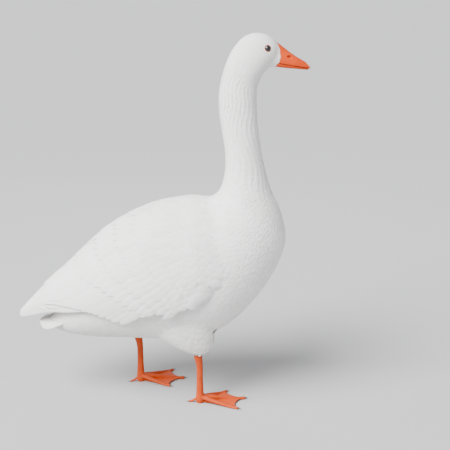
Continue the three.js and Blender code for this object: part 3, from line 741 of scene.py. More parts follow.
# Coat
coat = {
    "lift": .8,  # how high the feathers' tips lie, as a share of the coat's depth
    "middleLift": .55,  # and their middles, as a share of the tips
    "rootDepth": dict(onSkin=.6, onWing=1),  # how deep the roots lie
    "stray": .045,  # radians
    "ragged": .03,
    "lengths": (.93, 1.07),  # from the shortest to the longest, as shares
    "sizes": (.9, 1.1),
    "overWing": 1.8,  # how far feathers stand off where they lie on the wing
    "wingDepth": 18,  # how deep under the wing's surface they may start
    "edgeMargin": 5,  # how many degrees below the wing's edge they still lie on it
    "fringe": .10,  # how far back the breast's feathers cover the wing
    "sideFringe": (.27, 84, 60),  # how far back the flank's do, below these degrees and how many more along
    "onBreast": (.30, .46),  # where along the body feathers may lie on the wing
    "hidden": (.14, .86, 12),  # how far along the wing surely hides the skin, and degrees inside its edge
    "coverReach": 45,
    "underside": -.35,  # the wing's core is feathered where it faces down at least so much
    "onTrunk": 2.8,  # skin so near the trunk's surface is the trunk's
    "thighMargin": 6,
    "billFrom": (.235, .8),  # the bill is ahead of and above this
    "billGap": .2,
    "candidates": 9,
    "frontStray": .0004,
    "mostFaces": 95000,
    # sizes by how far along the body they are
    "length": [(0, 40), (.08, 36), (.2, 42), (.32, 38), (.42, 30), (.48, 22), (.55, 15), (.72, 12), (.8, 8),
               (.88, 5.4), (.96, 3.6), (1, 2.8)],
    "width": [(0, 21), (.08, 21), (.2, 25), (.35, 22), (.42, 18), (.48, 11), (.55, 6.6), (.72, 5.2), (.8, 4),
              (.88, 3), (1, 1.8)],
    "spacing": [(0, 9), (.2, 10.2), (.35, 8.6), (.42, 7.2), (.48, 5.4), (.55, 4.0), (.72, 3.4), (.8, 2.5),
                (.88, 1.9), (.96, 1.4), (1, 1.15)],
    # on the thighs the feathers hang down
    "thighs": dict(reach=.085, start=1.15, gain=1.6, top=(.165, .215), ahead=(.25, 0, 1), shorter=.35,
                   narrower=.4),
    "flanks": dict(degrees=(62, 85, 120, 145), along=(.1, .16, .3, .4), longer=.22, wider=.15),
    # name, from and to along the body, form, thickness and seed
    "zones": [
        ("tailCoverts", 0, .1, "body", .4, 11),
        ("bodyFeathers", .1, .46, "body", .4, 12),
        ("neckFeathers", .46, .76, "neck", .25, 13),
        ("headFeathers", .76, 1.01, "head", .25, 14),
    ],
}


def surfaceOf(mesh):
    # what the feathers rest on: a tree to find the nearest face, and each face's evened way out
    ends = readRows(mesh.edges, "vertices", 2, np.int32)
    ways = normalsOf(mesh)
    for _ in range(6):
        total = ways.copy()
        np.add.at(total, ends[:, 0], ways[ends[:, 1]])
        np.add.at(total, ends[:, 1], ways[ends[:, 0]])
        ways = unit(total)
    faces = facesOf(mesh)
    return dict(tree=treeOf(coordinates(mesh), faces),
                ways=unit(np.array([ways[list(face)].mean(0) for face in faces])))


def wingCover(steps=160, turns=120):
    # the outside of the folded wings as a tree, with each face's place along and round it
    along, degrees = [grid.ravel() for grid in np.meshgrid(
        np.linspace(0, 1, steps + 1), np.linspace(0, 360, turns + 1), indexing="ij")]
    first = (np.arange(steps)[:, None] * (turns + 1) + np.arange(turns)).ravel()
    faces = np.stack([first, first + 1, first + turns + 2, first + turns + 1], -1)
    places = np.stack([along, degrees], -1)[faces].mean(1)
    places[:, 1] = np.minimum(places[:, 1], 360 - places[:, 1])
    return dict(tree=treeOf(onRibs(wingRun, along, degrees, -ramp(along, wings["frontSink"])), faces),
                places=places)


def belowEdge(place):
    # how many degrees a place on the wing cover is below the wing's lower edge
    return place[1] - ramp(place[0], wings["lowerEdge"])


def scatter(mesh, keep, seed):
    # evenly spread points on a mesh: candidates by area, thinned front by front
    rng = np.random.default_rng(seed)
    points = coordinates(mesh)
    mesh.calc_loop_triangles()
    corners = readRows(mesh.loop_triangles, "vertices", 3, np.int32)
    a, b, c = [points[corner] for corner in corners.T]
    cross = np.cross(b - a, c - a)
    centre = (a + b + c) / 3
    along = placeOnBody(centre)[0]
    spacing = ramp(along, coat["spacing"]) / 1000
    weight = np.linalg.norm(cross, axis=1) / 2 / spacing**2 * keep(along, centre)
    count = int(weight.sum() * coat["candidates"])
    picked = rng.choice(len(corners), count, p=weight / weight.sum())
    u, v = rng.random(count), rng.random(count)
    flip = u + v > 1
    u[flip], v[flip] = 1 - u[flip], 1 - v[flip]
    spots = a[picked] + (b - a)[picked] * u[:, None] + (c - a)[picked] * v[:, None]
    along, degrees, ahead = placeOnBody(spots)
    spacing = ramp(along, coat["spacing"]) / 1000
    order = np.argsort(along + rng.normal(0, coat["frontStray"], count))
    tree = KDTree(count)
    for i, spot in enumerate(spots):
        tree.insert(spot, i)
    tree.balance()
    alive = np.ones(count, bool)
    chosen = []
    for i in order:
        if alive[i]:
            chosen.append(i)
            for _, other, _ in tree.find_range(spots[i], spacing[i]):
                alive[other] = False
    return [rows[np.array(chosen)] for rows in (spots, along, degrees, ahead)]


def eyeCentre(side):
    eye = head["eye"]
    return headPoint(eye["ahead"], eye["above"], side * eye["out"])


def lidRing(skin, side):
    # where the skin meets one eye: the way it faces there, how far it is from the eye's centre, and the
    # radius of the circle in which it cuts the eye
    centre = np.array(eyeCentre(side))
    points, normals = coordinates(skin.data), normalsOf(skin.data)
    gap = np.linalg.norm(points - centre, axis=1)
    near = (gap > eyes["lidFrom"]) & (gap < eyes["lidTo"]) & (normals[:, 1] * side > .3)
    facing = unit(normals[near].sum(0))
    out = float(((points[near] - centre) @ facing).mean()) + eyes["lidLift"]
    radius = math.sqrt((head["eye"]["radius"] / 1000) ** 2 - out**2)
    return dict(centre=centre, facing=facing, out=out, radius=radius)


def clearOfEyes(points, lidRings):
    # true where the lids are left free
    free = np.ones(len(points), bool)
    for ring in lidRings:
        off = points - ring["centre"]
        deep = off @ ring["facing"]
        wide = np.linalg.norm(off - deep[:, None] * ring["facing"], axis=1)
        free &= (deep < 0) | (wide > ring["radius"] + eyes["lidTube"] * 1.3)
    return free


def hangOn(boxes, spots):
    # how much feathers hang down, from 0 to 1 on the thighs
    thighs = coat["thighs"]
    hang = np.zeros(len(spots))
    for low, high in boxes:
        middle = (low + high) / 2
        onSide = np.sign(spots[:, 1]) == np.sign(middle[1])
        near = np.clip(thighs["start"] - np.abs(spots[:, 0] - middle[0]) / thighs["reach"], 0, 1)
        below = 1 - smoothStep(spots[:, 2], *thighs["top"])
        hang = np.maximum(hang, np.where(onSide, np.minimum(1, near * thighs["gain"]) * below, 0))
    return hang


def makeCoat(skin, lidRings, material):
    cover = wingCover()
    trunk = treeIn(trunkForm())
    billShell = treeIn(copyOf(["bill_upper", "bill_lower"]))
    thighBoxes = [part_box("thigh_left"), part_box("thigh_right")]
    surface = surfaceOf(skin.data)

    def underWing(points, ways):
        # 2 where the wing hides the skin, 1 where breast and flank feathers run over the wing's edge, else 0
        start, stop, inside = coat["hidden"]
        sideAlong, sideFrom, sideMore = coat["sideFringe"]
        state = np.zeros(len(points), int)
        for i, (spot, way) in enumerate(zip(points, ways)):
            place = cover["places"][cover["tree"].find_nearest(Vector(spot))[2]]
            if start < place[0] < stop and belowEdge(place) < -inside:
                state[i] = 2
                continue
            face = cover["tree"].ray_cast(Vector(spot), Vector(way), coat["coverReach"] / 1000)[2]
            if face is not None and belowEdge(cover["places"][face]) <= 0:
                along, turn = cover["places"][face]
                onFlank = along < sideAlong and turn > sideFrom + sideMore * along
                state[i] = 1 if along < coat["fringe"] or onFlank else 2
        return state

    def offBody(points, ways):
        # true on the wings' own cores, away from the trunk, where only the underside is feathered
        far = nearestTo(trunk, points)[3] > coat["onTrunk"] / 1000
        bare = far & (ways[:, 2] > coat["underside"])
        margin = coat["thighMargin"] / 1000
        for low, high in thighBoxes:
            bare &= ~np.all((points > np.array(low) - margin) & (points < np.array(high) + margin), axis=1)
        return bare

    def outsideBill(points):
        near, ways, _, _ = nearestTo(billShell, points)
        height = ((points - near) * ways).sum(1)
        return (height >= coat["billGap"] / 1000) | (points[:, [0, 2]] < coat["billFrom"]).any(1)

    for name, low, high, form, thick, seed in coat["zones"]:
        def keep(along, points):
            inside = (along >= low) & (along < high)
            some = points[inside]
            if form == "body":
                ways = nearestTo(surface["tree"], some)[1]
                state = underWing(some, ways)
                inside[inside] = (state == 1) | ((state == 0) & ~offBody(some, ways))
            elif form == "head":
                inside[inside] = clearOfEyes(some, lidRings) & outsideBill(some)
            return inside

        spots, along, degrees, ahead = scatter(skin.data, keep, seed)
        if form == "head":
            tips = spots - ahead * ramp(along, coat["length"])[:, None] / 1000
            good = clearOfEyes(spots, lidRings) & clearOfEyes(tips, lidRings) & outsideBill(spots)
            spots, along, degrees, ahead = [rows[good] for rows in (spots, along, degrees, ahead)]
        thighs, flanks = coat["thighs"], coat["flanks"]
        hang = hangOn(thighBoxes, spots)
        flank = window(np.abs(degrees), *flanks["degrees"]) * window(along, *flanks["along"])
        normals = surface["ways"][nearestTo(surface["tree"], spots)[2]]
        start, stop = coat["onBreast"]

        def sized(name, less, more):
            return ramp(along, coat[name]) * (1 - less) * (1 + more)

        laid = dict(
            roots=spots,
            normals=normals,
            aheads=unit(ahead * (1 - hang)[:, None] + np.array(thighs["ahead"]) * hang[:, None]),
            lengths=sized("length", thighs["shorter"] * hang, flanks["longer"] * flank),
            widths=sized("width", thighs["narrower"] * hang, flanks["wider"] * flank),
            lifts=ramp(along, body["coatDepth"]) * coat["lift"],
            uvRoots=np.stack([along, degrees / 360 + .5], -1),
            # breast and flank feathers may lie on the wing, the others stay under it
            onWing=(underWing(spots, normals) == 1) | ((along > start) & (along < stop)),
        )
        rng = np.random.default_rng(seed + 40)
        layOnSkin(name, forms[form], laid, thick, surface, cover, rng, material)
        print(name, len(spots))


# Wings
def vaneTaper(along):
    # a vane's share of its thickness, thinner at the tip
    return np.minimum(1, (1.05 - along) * 4)


def vanesOnWing(form, roots, tips, widths, style, side, rng):
    # feathers that follow the wing's surface from root to tip, each (along, degrees round)
    uneven = wings["uneven"]
    tips = tips + rng.uniform(-1, 1, tips.shape) * uneven["tips"]
    tips[:, 0] = np.minimum(tips[:, 0], wings["lastTip"])
    t = form["along"][None]
    along = roots[:, :1] + (tips[:, :1] - roots[:, :1]) * t
    backX, backZ, bellyX, bellyZ, half, _ = rowAt(wingRun, along)
    radius = (np.hypot(backX - bellyX, backZ - bellyZ) / 2 + half) / 2
    across = form["aside"] * (1 + rng.normal(0, uneven["width"], along.shape))
    degrees = roots[:, 1:] + (tips[:, 1:] - roots[:, 1:]) * t
    degrees = degrees + np.degrees(across * widths[:, None] / 2 / radius)
    reach = onRibs(wingRun, *tips.T) - onRibs(wingRun, *roots.T)
    length = np.linalg.norm(reach, axis=1, keepdims=True) * 1000
    # the same slope on every feather lets each lie on the next, whichever row it is in
    out = wings["crown"] + style["crown"] - style["slope"] * length * (1 - t) + across * style["tilt"]
    out = out - style["camber"] * across**2 - ramp(along, wings["frontSink"])
    high = uneven["height"]
    out = out + form["face"] * style["thick"] / 2 * vaneTaper(t) + rng.uniform(-high, high, (len(tips), 1))
    points = onRibs(wingRun, along.ravel(), degrees.ravel(), out.ravel(), side).reshape(*along.shape, 3)
    return dict(form=dict(form, faces=form["faces"][:, ::side]), points=points,
                uvRoots=np.stack([roots[:, 0] + .02, roots[:, 1] / 200 + .2], -1),
                vaneUv=np.stack([across * widths[:, None] / 20, t * length / 10], -1),
                tones=rng.uniform(0, 1, len(tips)))


def joinTiers(name, tiers, material):
    # several tiers of one form in one piece
    keys = ("points", "uvRoots", "vaneUv", "tones")
    joinFeathers(name, tiers[0]["form"], *[np.concatenate([tier[key] for tier in tiers]) for key in keys],
                 material)


def coverRow(number, side, rng):
    # a row of small feathers: its line from the wing's lower edge up to the back, and how broad it is
    # across its feathers
    turns, tipsAt = wings["rowDegrees"], wings["rowTips"][number]
    line = np.linspace(min(turns[-1], ramp(tipsAt[-1], wings["rowStart"])), turns[0], 400)
    low = (line - turns[0]) / (turns[-1] - turns[0])
    tips = np.stack([np.interp(line, turns, tipsAt), line], -1)
    run = between(wings["rowLength"][number], low) / wings["runLength"]
    widths = between(wings["rowWidth"][number], low)
    roots = tips - np.stack([run, run * np.interp(line, turns, wings["rowDroop"])], -1)
    here = onRibs(wingRun, *tips.T)
    lie = unit(onRibs(wingRun, *roots.T) - here)[:-1]
    step = np.diff(here, axis=0)
    step = np.linalg.norm(step - (step * lie).sum(1, keepdims=True) * lie, axis=1) * 1000
    passed = np.concatenate([[0], np.cumsum(step / (widths[:-1] * wings["rowPitch"]))])
    # every other row starts half a feather later
    picked = np.interp(np.arange(.1 + .5 * (number % 2), passed[-1]), passed, np.arange(len(line)))
    picked = np.round(picked).astype(int)
    wide = widths[picked] * rng.uniform(.95, 1.05, len(picked))
    slope = between(wings["rowSlope"], number / (len(wings["rowTips"]) - 1))
    style = dict(slope=slope, tilt=.7, thick=.6, camber=.8, crown=wings["rowCrown"][number])
    return vanesOnWing(forms["covert"], roots[picked], tips[picked], wide, style, side, rng)


def makeWing(side, sideName, material):
    rng = np.random.default_rng(70 + side)
    quills = []
    for tier in wings["quills"].values():
        share = np.linspace(0, 1, tier["count"])
        style = dict(slope=wings["quillSlope"], tilt=1.0, thick=.9, camber=.7, crown=tier["crown"])
        roots, tips, widths = [between(tier[key], share) for key in ("roots", "tips", "width")]
        quills.append(vanesOnWing(forms["quill"], roots, tips, widths, style, side, rng))
    rows = [coverRow(number, side, rng) for number in range(len(wings["rowTips"]))]
    joinTiers("quills" + sideName, quills, material)
    joinTiers("coverts" + sideName, rows, material)


def makeRidge(material):
    # the feathers along the middle of the back, over the wings' inner edges
    rng = np.random.default_rng(81)
    ridge = wings["ridge"]
    style = dict(slope=wings["rowSlope"][0], tilt=0, thick=.6, camber=1.2, crown=ridge["crown"])
    tiers = []
    for row in range(ridge["rows"]):
        share = row / (ridge["rows"] - 1)
        length, width, tipAt = [between(ridge[key], share) for key in ("length", "width", "along")]
        columns = np.array(ridge["columns"][row % 2], float)
        tips = np.stack([np.full(len(columns), tipAt), columns], -1)
        tiers.append(vanesOnWing(forms["covert"], tips - (length / wings["runLength"], 0), tips,
                                 np.full(len(columns), width), style, 1, rng))
    joinTiers("ridgeFeathers", tiers, material)


# Tail
tail = {
    "feathers": 16,
    "root": (-236, 225),
    "length": 92,
    "shorter": .14,  # the outermost feathers, as a share
    "halfWidth": 12.5,
    "base": 24,  # half the breadth of the roots
    "arch": 9,
    "spread": 24,  # degrees
    "drop": .26,
    "tilt": 1.6,
    "camber": .6,
    "thick": .9,
}


def makeTail(material):
    form = forms["quill"]
    rng = np.random.default_rng(91)
    share = np.linspace(-1, 1, tail["feathers"])
    count, same = len(share), np.ones(len(share))
    turn = np.radians(share * tail["spread"])
    length = tail["length"] * (1 - tail["shorter"] * share**2) + rng.uniform(-1.5, 1.5, count)
    heading = unit(np.stack([-np.cos(turn), np.sin(turn), -tail["drop"] * same], -1))
    outward = np.stack([np.sin(turn), np.cos(turn), 0 * turn], -1) * np.sign(share)[:, None]
    up = np.array([-tail["drop"], 0, 1]) / math.hypot(tail["drop"], 1)
    rootX, rootZ = tail["root"]
    start = np.stack([rootX * same, share * tail["base"], rootZ - tail["arch"] * share**2], -1)
    t = form["along"]
    across = form["aside"] * (1 + rng.normal(0, .02, (count, len(t))))
    rise = -across * tail["tilt"] - tail["camber"] * across**2
    rise = rise + form["face"] * tail["thick"] / 2 * vaneTaper(t)
    points = (start[:, None] + heading[:, None] * (length[:, None] * t)[..., None]
              + outward[:, None] * across[..., None] * tail["halfWidth"] + up * rise[..., None])
    points = (points + (body["forward"], 0, 0)) / 1000
    vaneUv = np.stack([across * tail["halfWidth"] / 10, t * length[:, None] / 10], -1)
    uvRoots = np.stack([share * .2 + .5, .5 * same], -1)
    for name, step, chosen in (("tailFeathersLeft", -1, share > 0), ("tailFeathersRight", 1, share < 0)):
        joinFeathers(name, dict(form, faces=form["faces"][:, ::step]), points[chosen], uvRoots[chosen],
                     vaneUv[chosen], rng.uniform(0, 1, chosen.sum()), material)


# Bill
bill = {
    "width": 35,
    "inset": 1.6,  # how much narrower the lower half is, on each side
    "bite": .5,  # gap between the halves
    # for each length ahead: the ridge, the mouth, the chin, and the half width as a share of the width
    "stations": [
        (6, 23, -21, -33, .44),
        (20, 22, -22.5, -34, .49),
        (34, 16, -23.5, -33.5, .51),
        (52, 8, -23, -31.5, .50),
        (70, 1, -21.6, -29, .47),
        (86, -4, -20.4, -26.6, .43),
        (98, -7.5, -20, -24.8, .37),
        (106, -11, -20.2, -23.6, .27),
        (110.5, -15, -19.8, -21.6, .13),
    ],
    "fullness": dict(upper=.9, lower=.6, sides=.85),  # below 1 an arch is fuller than an ellipse
    "nail": dict(ahead=109.5, above=-10, left=0, radii=(13, 9, 12)),
    "nostril": dict(ahead=54, above=-3.5, left=12.5, radii=(6.5, 4, 3)),
    "gap": .3,
    "voxel": .0008,
    "nailVoxel": .00048,
    "smoothing": 4,
    # the comb of ridges along the edges of the mouth
    "comb": dict(pitch=2.6, depth=.45, half=1.9, ahead=(18, 30, 94, 103)),
}


def mandible(upper):
    # one half of the bill: an arch from the mouth up to the ridge or down to the chin, on a flat
    run = smoothRun(bill["stations"] if upper else bill["stations"][:-1])
    full = bill["fullness"]
    arched = .75  # share of the way round that is the arch

    def place(along, around):
        ahead, ridge, mouth, chin, half = rowAt(run, along)
        half = half * bill["width"] - (0 if upper else bill["inset"])
        edge = mouth + (1 if upper else -1) * bill["bite"] / 2
        turn = np.pi * np.minimum(1, around / arched)
        rise = np.sin(turn) ** (full["upper"] if upper else full["lower"])
        side = np.sign(np.cos(turn)) * np.abs(np.cos(turn)) ** full["sides"]
        side = np.where(around > arched, 2 * (around - arched) / (1 - arched) - 1, side)
        rows = zip(ahead, edge + ((ridge if upper else chin) - edge) * rise, half * side)
        return [headPoint(*row) for row in rows]

    return tube(60, 64, place)


def egg(size, mirrored=1, out=0.0):
    bm = bmesh.new()
    bmesh.ops.create_uvsphere(bm, u_segments=40, v_segments=24, radius=1)
    bmesh.ops.scale(bm, vec=[(radius + out) / 1000 for radius in size["radii"]], verts=bm.verts)
    bmesh.ops.rotate(bm, matrix=Matrix.Rotation(-pitch, 3, "Y"), verts=bm.verts)
    centre = headPoint(size["ahead"], size["above"], size["left"] * mirrored)
    bmesh.ops.translate(bm, vec=centre, verts=bm.verts)
    return bm


def carved(bm, cutter, operation):
    # one closed form less another, or what they share
    return modified([bm, cutter], "BOOLEAN", operation=operation, solver="EXACT")


def billMaterial(name, main, deep):
    material, tree, place = newMaterial(name)
    stops = [(.25, deep), (.55, main), (.8, scaled(main, 1.08, .01))]
    colour = colourRamp(tree, noiseOn(tree, place, 38, 4.0), stops)
    folds = noiseOn(tree, place, 130, 4.0, .6)
    height = mathNode(tree, "MULTIPLY_ADD", noiseOn(tree, place, 900, 2.0), .35, folds)
    shade(tree, colour, (height, .35, .0006),
          {"Roughness": .45, "Specular IOR Level": .25, "Subsurface Weight": .08,
           "Subsurface Radius": (.004, .0015, .0008)})
    return material


def makeBill():
    horn = billMaterial("billHorn", colours["bill"], colours["billBase"])
    nailHorn = billMaterial("nailHorn", colours["nail"], scaled(colours["nail"], .8))
    upper = carved(mandible(True), egg(bill["nail"], out=bill["gap"]), "DIFFERENCE")
    for mirrored in (1, -1):
        upper = carved(upper, egg(bill["nostril"], mirrored), "DIFFERENCE")
    nail = carved(mandible(True), egg(bill["nail"]), "INTERSECT")
    comb = bill["comb"]
    halves = []
    lower = mandible(False)
    for name, node, form in (("billUpper", "bill_upper", upper), ("billLower", "bill_lower", lower)):
        piece = remeshed(form, bill["voxel"], bill["smoothing"], name)
        points, normals = coordinates(piece.data), normalsOf(piece.data)
        ahead, above = onHead(points)
        mouth = ramp(ahead, [(row[0], row[2]) for row in bill["stations"]])
        near = np.exp(-(((above - mouth) / comb["half"]) ** 2)) * window(ahead, *comb["ahead"])
        cut = near * np.abs(np.sin(np.pi * ahead / comb["pitch"])) * comb["depth"]
        moveTo(piece.data, points - normals * cut[:, None] / 1000)
        dress(piece, horn, "bill", node)
        halves.append(piece)
    tip = remeshed(nail, bill["nailVoxel"], bill["smoothing"], "billNail")
    dress(tip, nailHorn, "nail", "bill_nail")
    return halves


# Eyes, in metres and degrees
eyes = {
    "ahead": 15,  # how far each eye looks ahead and up
    "up": 8,
    "cornea": .035,  # how much it swells, as a share, and from which share of straight ahead
    "corneaFrom": .72,
    "lidTube": .001,
    "lidFrom": .0095,  # how far from the eye's centre the skin is measured
    "lidTo": .0150,
    "lidLift": .0005,  # how far the lids stand off the skin
    "lidLonger": .02,
    "lidDip": .0004,  # how much lower the lids are at their front and back
    "lidUneven": .0002,
}


def eyeAxis(side):
    ahead, up = math.radians(eyes["ahead"]), math.radians(eyes["up"])
    return Vector((math.sin(ahead), side * math.cos(ahead), math.sin(up))).normalized()


def turnedTo(axis, centre):
    return Matrix.Translation(centre) @ Vector(axis).to_track_quat("Z", "Y").to_matrix().to_4x4()


def eyeMaterial(side, name):
    material, tree, place = newMaterial(name)

    def vectorNode(operation, *values):
        return addNode(tree, "ShaderNodeVectorMath", enumerate(values), operation=operation).outputs

    off = vectorNode("SUBTRACT", place, eyeCentre(side))["Vector"]
    dot = vectorNode("DOT_PRODUCT", off, eyeAxis(side))["Value"]
    angle = mathNode(tree, "ARCCOSINE", mathNode(tree, "DIVIDE", dot, vectorNode("LENGTH", off)["Value"]))
    spread = mathNode(tree, "DIVIDE", angle, 1.2)
    ring = mathNode(tree, "MULTIPLY_ADD", noiseOn(tree, place, 900), .05, spread)
    colour = colourRamp(tree, ring, [
        (0, colours["pupil"]), (.40, colours["pupil"]), (.46, colours["iris"]), (.60, (.008, .012, .02)),
        (.68, (.004, .005, .008)), (1, (.01, .006, .005))])
    shade(tree, colour, (noiseOn(tree, place, 600, 2.0), .05, .0002),
          {"Roughness": .07, "Coat Weight": .3, "Coat Roughness": .02})
    return material


def lidForm(fit):
    # a thin ring round the eye, drawn out a little ahead and behind
    bm = bmesh.new()
    ring = bmesh.ops.create_circle(bm, cap_ends=False, segments=10, radius=eyes["lidTube"])["verts"]
    bmesh.ops.rotate(bm, verts=ring, matrix=Matrix.Rotation(math.pi / 2, 3, "X"))
    bmesh.ops.translate(bm, verts=ring, vec=(fit["radius"], 0, 0))
    bmesh.ops.spin(bm, geom=bm.verts[:] + bm.edges[:], axis=(0, 0, 1), angle=2 * math.pi, steps=56,
                   use_merge=True)
    closed(bm)
    turned = turnedTo(fit["facing"], fit["centre"])
    forward = turned.to_3x3().inverted() @ Vector(headForward)
    forward.z = 0
    forward.normalize()
    for v in bm.verts:
        ahead = v.co.dot(forward) / fit["radius"]
        v.co += forward * ahead * fit["radius"] * eyes["lidLonger"]
        wave = math.sin(5 * math.atan2(v.co.y, v.co.x))
        v.co.z += fit["out"] - eyes["lidDip"] * ahead**2 + eyes["lidUneven"] * wave
    bmesh.ops.transform(bm, matrix=turned, verts=bm.verts)
    return bm


def makeEyes(lidRings):
    lid = colours["lid"]
    lidTint = mottledMaterial("lidSkin", (260, 3.0), [(.3, scaled(lid, .6)), (.65, lid)],
                              (900, 3.0, .6, .0005), .5)
    for side, sideName, fit in ((1, "Left", lidRings[0]), (-1, "Right", lidRings[1])):
        bm = bmesh.new()
        bmesh.ops.create_uvsphere(bm, u_segments=48, v_segments=32, radius=head["eye"]["radius"] / 1000)
        for v in bm.verts:
            facing = v.co.normalized().z
            v.co *= 1 + eyes["cornea"] * float(smoothStep(facing, eyes["corneaFrom"], 1.0))
        bmesh.ops.transform(bm, matrix=turnedTo(eyeAxis(side), eyeCentre(side)), verts=bm.verts)
        name = "eye" + sideName
        eyeball = newObject(name, meshFrom(bm, name))
        dress(eyeball, eyeMaterial(side, name), "eye", "eye_" + sideName.lower())

        name = "lids" + sideName
        dress(newObject(name, meshFrom(lidForm(fit), name)), lidTint, "bill")


# Legs
legs = {
    "voxel": .0009,
    "clawVoxel": .0004,
    "left": dict(side=1, ankle=(-78, 66), turn=6),
    "right": dict(side=-1, ankle=(84, -66), turn=9),
    "toes": dict(inner=(32, 90), middle=(0, 116), outer=(-32, 105), hind=(168, 29)),  # degrees and length
    "toeStart": 12,
    "toeHalf": (4.5, 6.5),  # how far from its middle a toe's plates start to fade, and end
    "scutePitch": 4.4,
    "scuteDepth": .6,
    "shankPitch": 5.2,
    "shankStart": (24, 34),  # how high its plates start, and are full
}


def legMaterial():
    material, tree, place = newMaterial("legSkin")
    inputs = {"Vector": place, "Scale": 360.0}
    cells = addNode(tree, "ShaderNodeTexVoronoi", inputs, feature="DISTANCE_TO_EDGE").outputs["Distance"]
    edge = colourRamp(tree, cells, [(0, (0, 0, 0)), (.16, (1, 1, 1))])
    leg = colours["leg"]
    base = colourRamp(tree, noiseOn(tree, place, 45, 4.0), [(.3, scaled(leg, .8)), (.65, leg)])
    groove = addNode(tree, "ShaderNodeAttribute", attribute_name="groove").outputs["Fac"]
    plate = mathNode(tree, "MULTIPLY_ADD", groove, -1.6, edge)
    height = mathNode(tree, "MULTIPLY_ADD", noiseOn(tree, place, 700, 2.0), .3, plate)
    shade(tree, mixed(tree, plate, (*scaled(leg, .6), 1), base), (height, .3, .0004),
          {"Roughness": .55, "Specular IOR Level": .25, "Subsurface Weight": .05,
           "Subsurface Radius": (.003, .001, .0006)})
    return material


def plates(run, pitch):
    # how far below its plates' height the skin is: 0 on them and -1 between them
    return np.sqrt(np.abs(np.sin(np.pi * run / pitch))) - 1


def platesOn(leg, points, normals):
    # how far the skin rises over a leg's points, on top of the toes and down the front of the shank
    fade, half = legs["toeHalf"]
    x, y, z = (points * 1000 - (leg["ankle"][0] + body["forward"], leg["ankle"][1], 0)).T
    rise = np.zeros(len(points))
    closest = np.full(len(points), np.inf)
    for angle, length in legs["toes"].values():
        turn = math.radians(leg["turn"] - leg["side"] * angle)
        run = x * math.cos(turn) + y * math.sin(turn)
        aside = np.abs(y * math.cos(turn) - x * math.sin(turn))
        here = (run > legs["toeStart"]) & (run < length) & (aside < half) & (aside < closest)
        closest[here] = aside[here]
        top = np.clip(normals[:, 2], 0, 1) * (1 - smoothStep(aside, fade, half))
        rise = np.where(here, plates(run, legs["scutePitch"]) * top * legs["scuteDepth"], rise)
    front = np.clip(normals[:, 0], 0, 1) * smoothStep(z, *legs["shankStart"])
    return rise + plates(z, legs["shankPitch"]) * front * legs["scuteDepth"]


def makeLegs():
    legTint = legMaterial()
    claw = colours["claw"]
    clawTint = mottledMaterial("clawHorn", (160, 3.0), [(.3, scaled(claw, .6)), (.7, scaled(claw, 1.6))],
                               (800, 3.0, .3, .0004), .35)
    for name, sideName in (("left", "Left"), ("right", "Right")):
        nodeNames = ["shank_" + name, "foot_" + name]
        piece = remeshed(copyOf(nodeNames), legs["voxel"], 3, "leg" + sideName)
        points, normals = coordinates(piece.data), normalsOf(piece.data)
        rise = platesOn(legs[name], points, normals)
        moveTo(piece.data, points + normals * rise[:, None] / 1000)
        groove = piece.data.attributes.new("groove", "FLOAT", "POINT")
        groove.data.foreach_set("value", (-rise / legs["scuteDepth"]).astype(np.float32))
        dress(piece, legTint, "leg", *nodeNames)
        clawNodes = ["claw_" + toe + "_" + name for toe in legs["toes"]]
        claws = remeshed(copyOf(clawNodes), legs["clawVoxel"], 1, "claws" + sideName)
        dress(claws, clawTint, "claw", *clawNodes)


# Stage
stage = {
    "floor": (.42, .42, .425),
    "floorRadius": 90,
    "sky": (.95, .96, .98),
    "skyStrength": (1.32, .75),  # at the horizon and above
    "skyFade": (0, .4),
    # place, target, size, watts and tint
    "keyLight": ((-1.5, -1.7, 2.3), (0, 0, .45), 1.1, 50, (1, .985, .96)),
    "backLight": ((-.4, 2.2, 2.0), (0, 0, .5), 1.2, 14, (1, 1, 1)),
    "daylight": dict(heading=(.55, .5, -.8), strength=8.2, softness=40),
    "camera": dict(place=(.1586, -2.2, 1.03), down=14.77, lens=72.96, sensor=36),
}


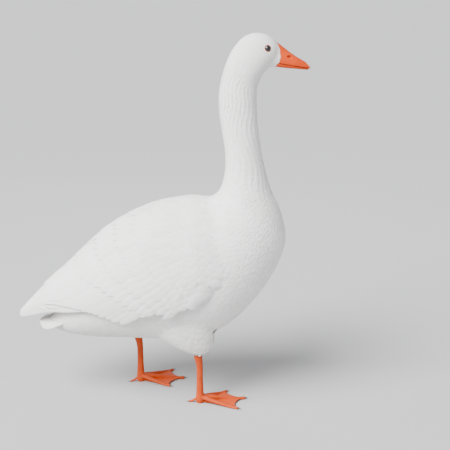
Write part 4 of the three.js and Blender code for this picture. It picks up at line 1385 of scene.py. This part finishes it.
def looking(heading):
    return Vector(heading).to_track_quat("-Z", "Y").to_euler()


def makeStage():
    bm = bmesh.new()
    bmesh.ops.create_circle(bm, cap_ends=True, segments=96, radius=stage["floorRadius"])
    floor = newObject("floor", meshFrom(bm, "floor"))
    stops = [(.2, scaled(stage["floor"], .985)), (.8, stage["floor"])]
    floor.data.materials.append(mottledMaterial("floorPaint", (3, 4.0), stops, None, .9))

    world = bpy.data.worlds.new("sky")
    bpy.context.scene.world = world
    world.use_nodes = True
    tree = world.node_tree
    heading = addNode(tree, "ShaderNodeTexCoord").outputs["Generated"]
    background = tree.nodes["Background"].inputs
    background["Color"].default_value = (*stage["sky"], 1)
    strength = eased(tree, heightOf(tree, heading), stage["skyFade"], stage["skyStrength"])
    setInput(tree, background["Strength"], strength)

    for name in ("keyLight", "backLight"):
        place, target, size, watts, tint = stage[name]
        lamp = bpy.data.lights.new(name, "AREA")
        lamp.size = size
        lamp.energy = watts
        lamp.color = tint
        holder = newObject(name, lamp)
        holder.location = place
        holder.rotation_euler = looking(Vector(target) - Vector(place))
    daylight = stage["daylight"]
    sun = bpy.data.lights.new("daylight", "SUN")
    sun.energy = daylight["strength"]
    sun.angle = math.radians(daylight["softness"])
    newObject("daylight", sun).rotation_euler = looking(daylight["heading"])

    view = stage["camera"]
    camera = bpy.data.cameras.new("camera")
    camera.lens = view["lens"]
    camera.sensor_width = view["sensor"]
    holder = newObject("camera", camera)
    holder.location = view["place"]
    holder.rotation_euler = (math.radians(90 - view["down"]), 0, 0)
    bpy.context.scene.camera = holder


print("bill")
halves = makeBill()
print("skin")
skin = makeSkin(halves)
lidRings = [lidRing(skin, side) for side in (1, -1)]
plumage = featherMaterial("plumage", 26.0, .2, False)
quills = featherMaterial("quills", 22.0, .4, True)
print("coat")
makeCoat(skin, lidRings, plumage)
print("wings and tail")
makeWing(1, "Left", quills)
makeWing(-1, "Right", quills)
makeRidge(quills)
makeTail(quills)
print("eyes")
makeEyes(lidRings)
print("legs")
makeLegs()
print("stage")
makeStage()
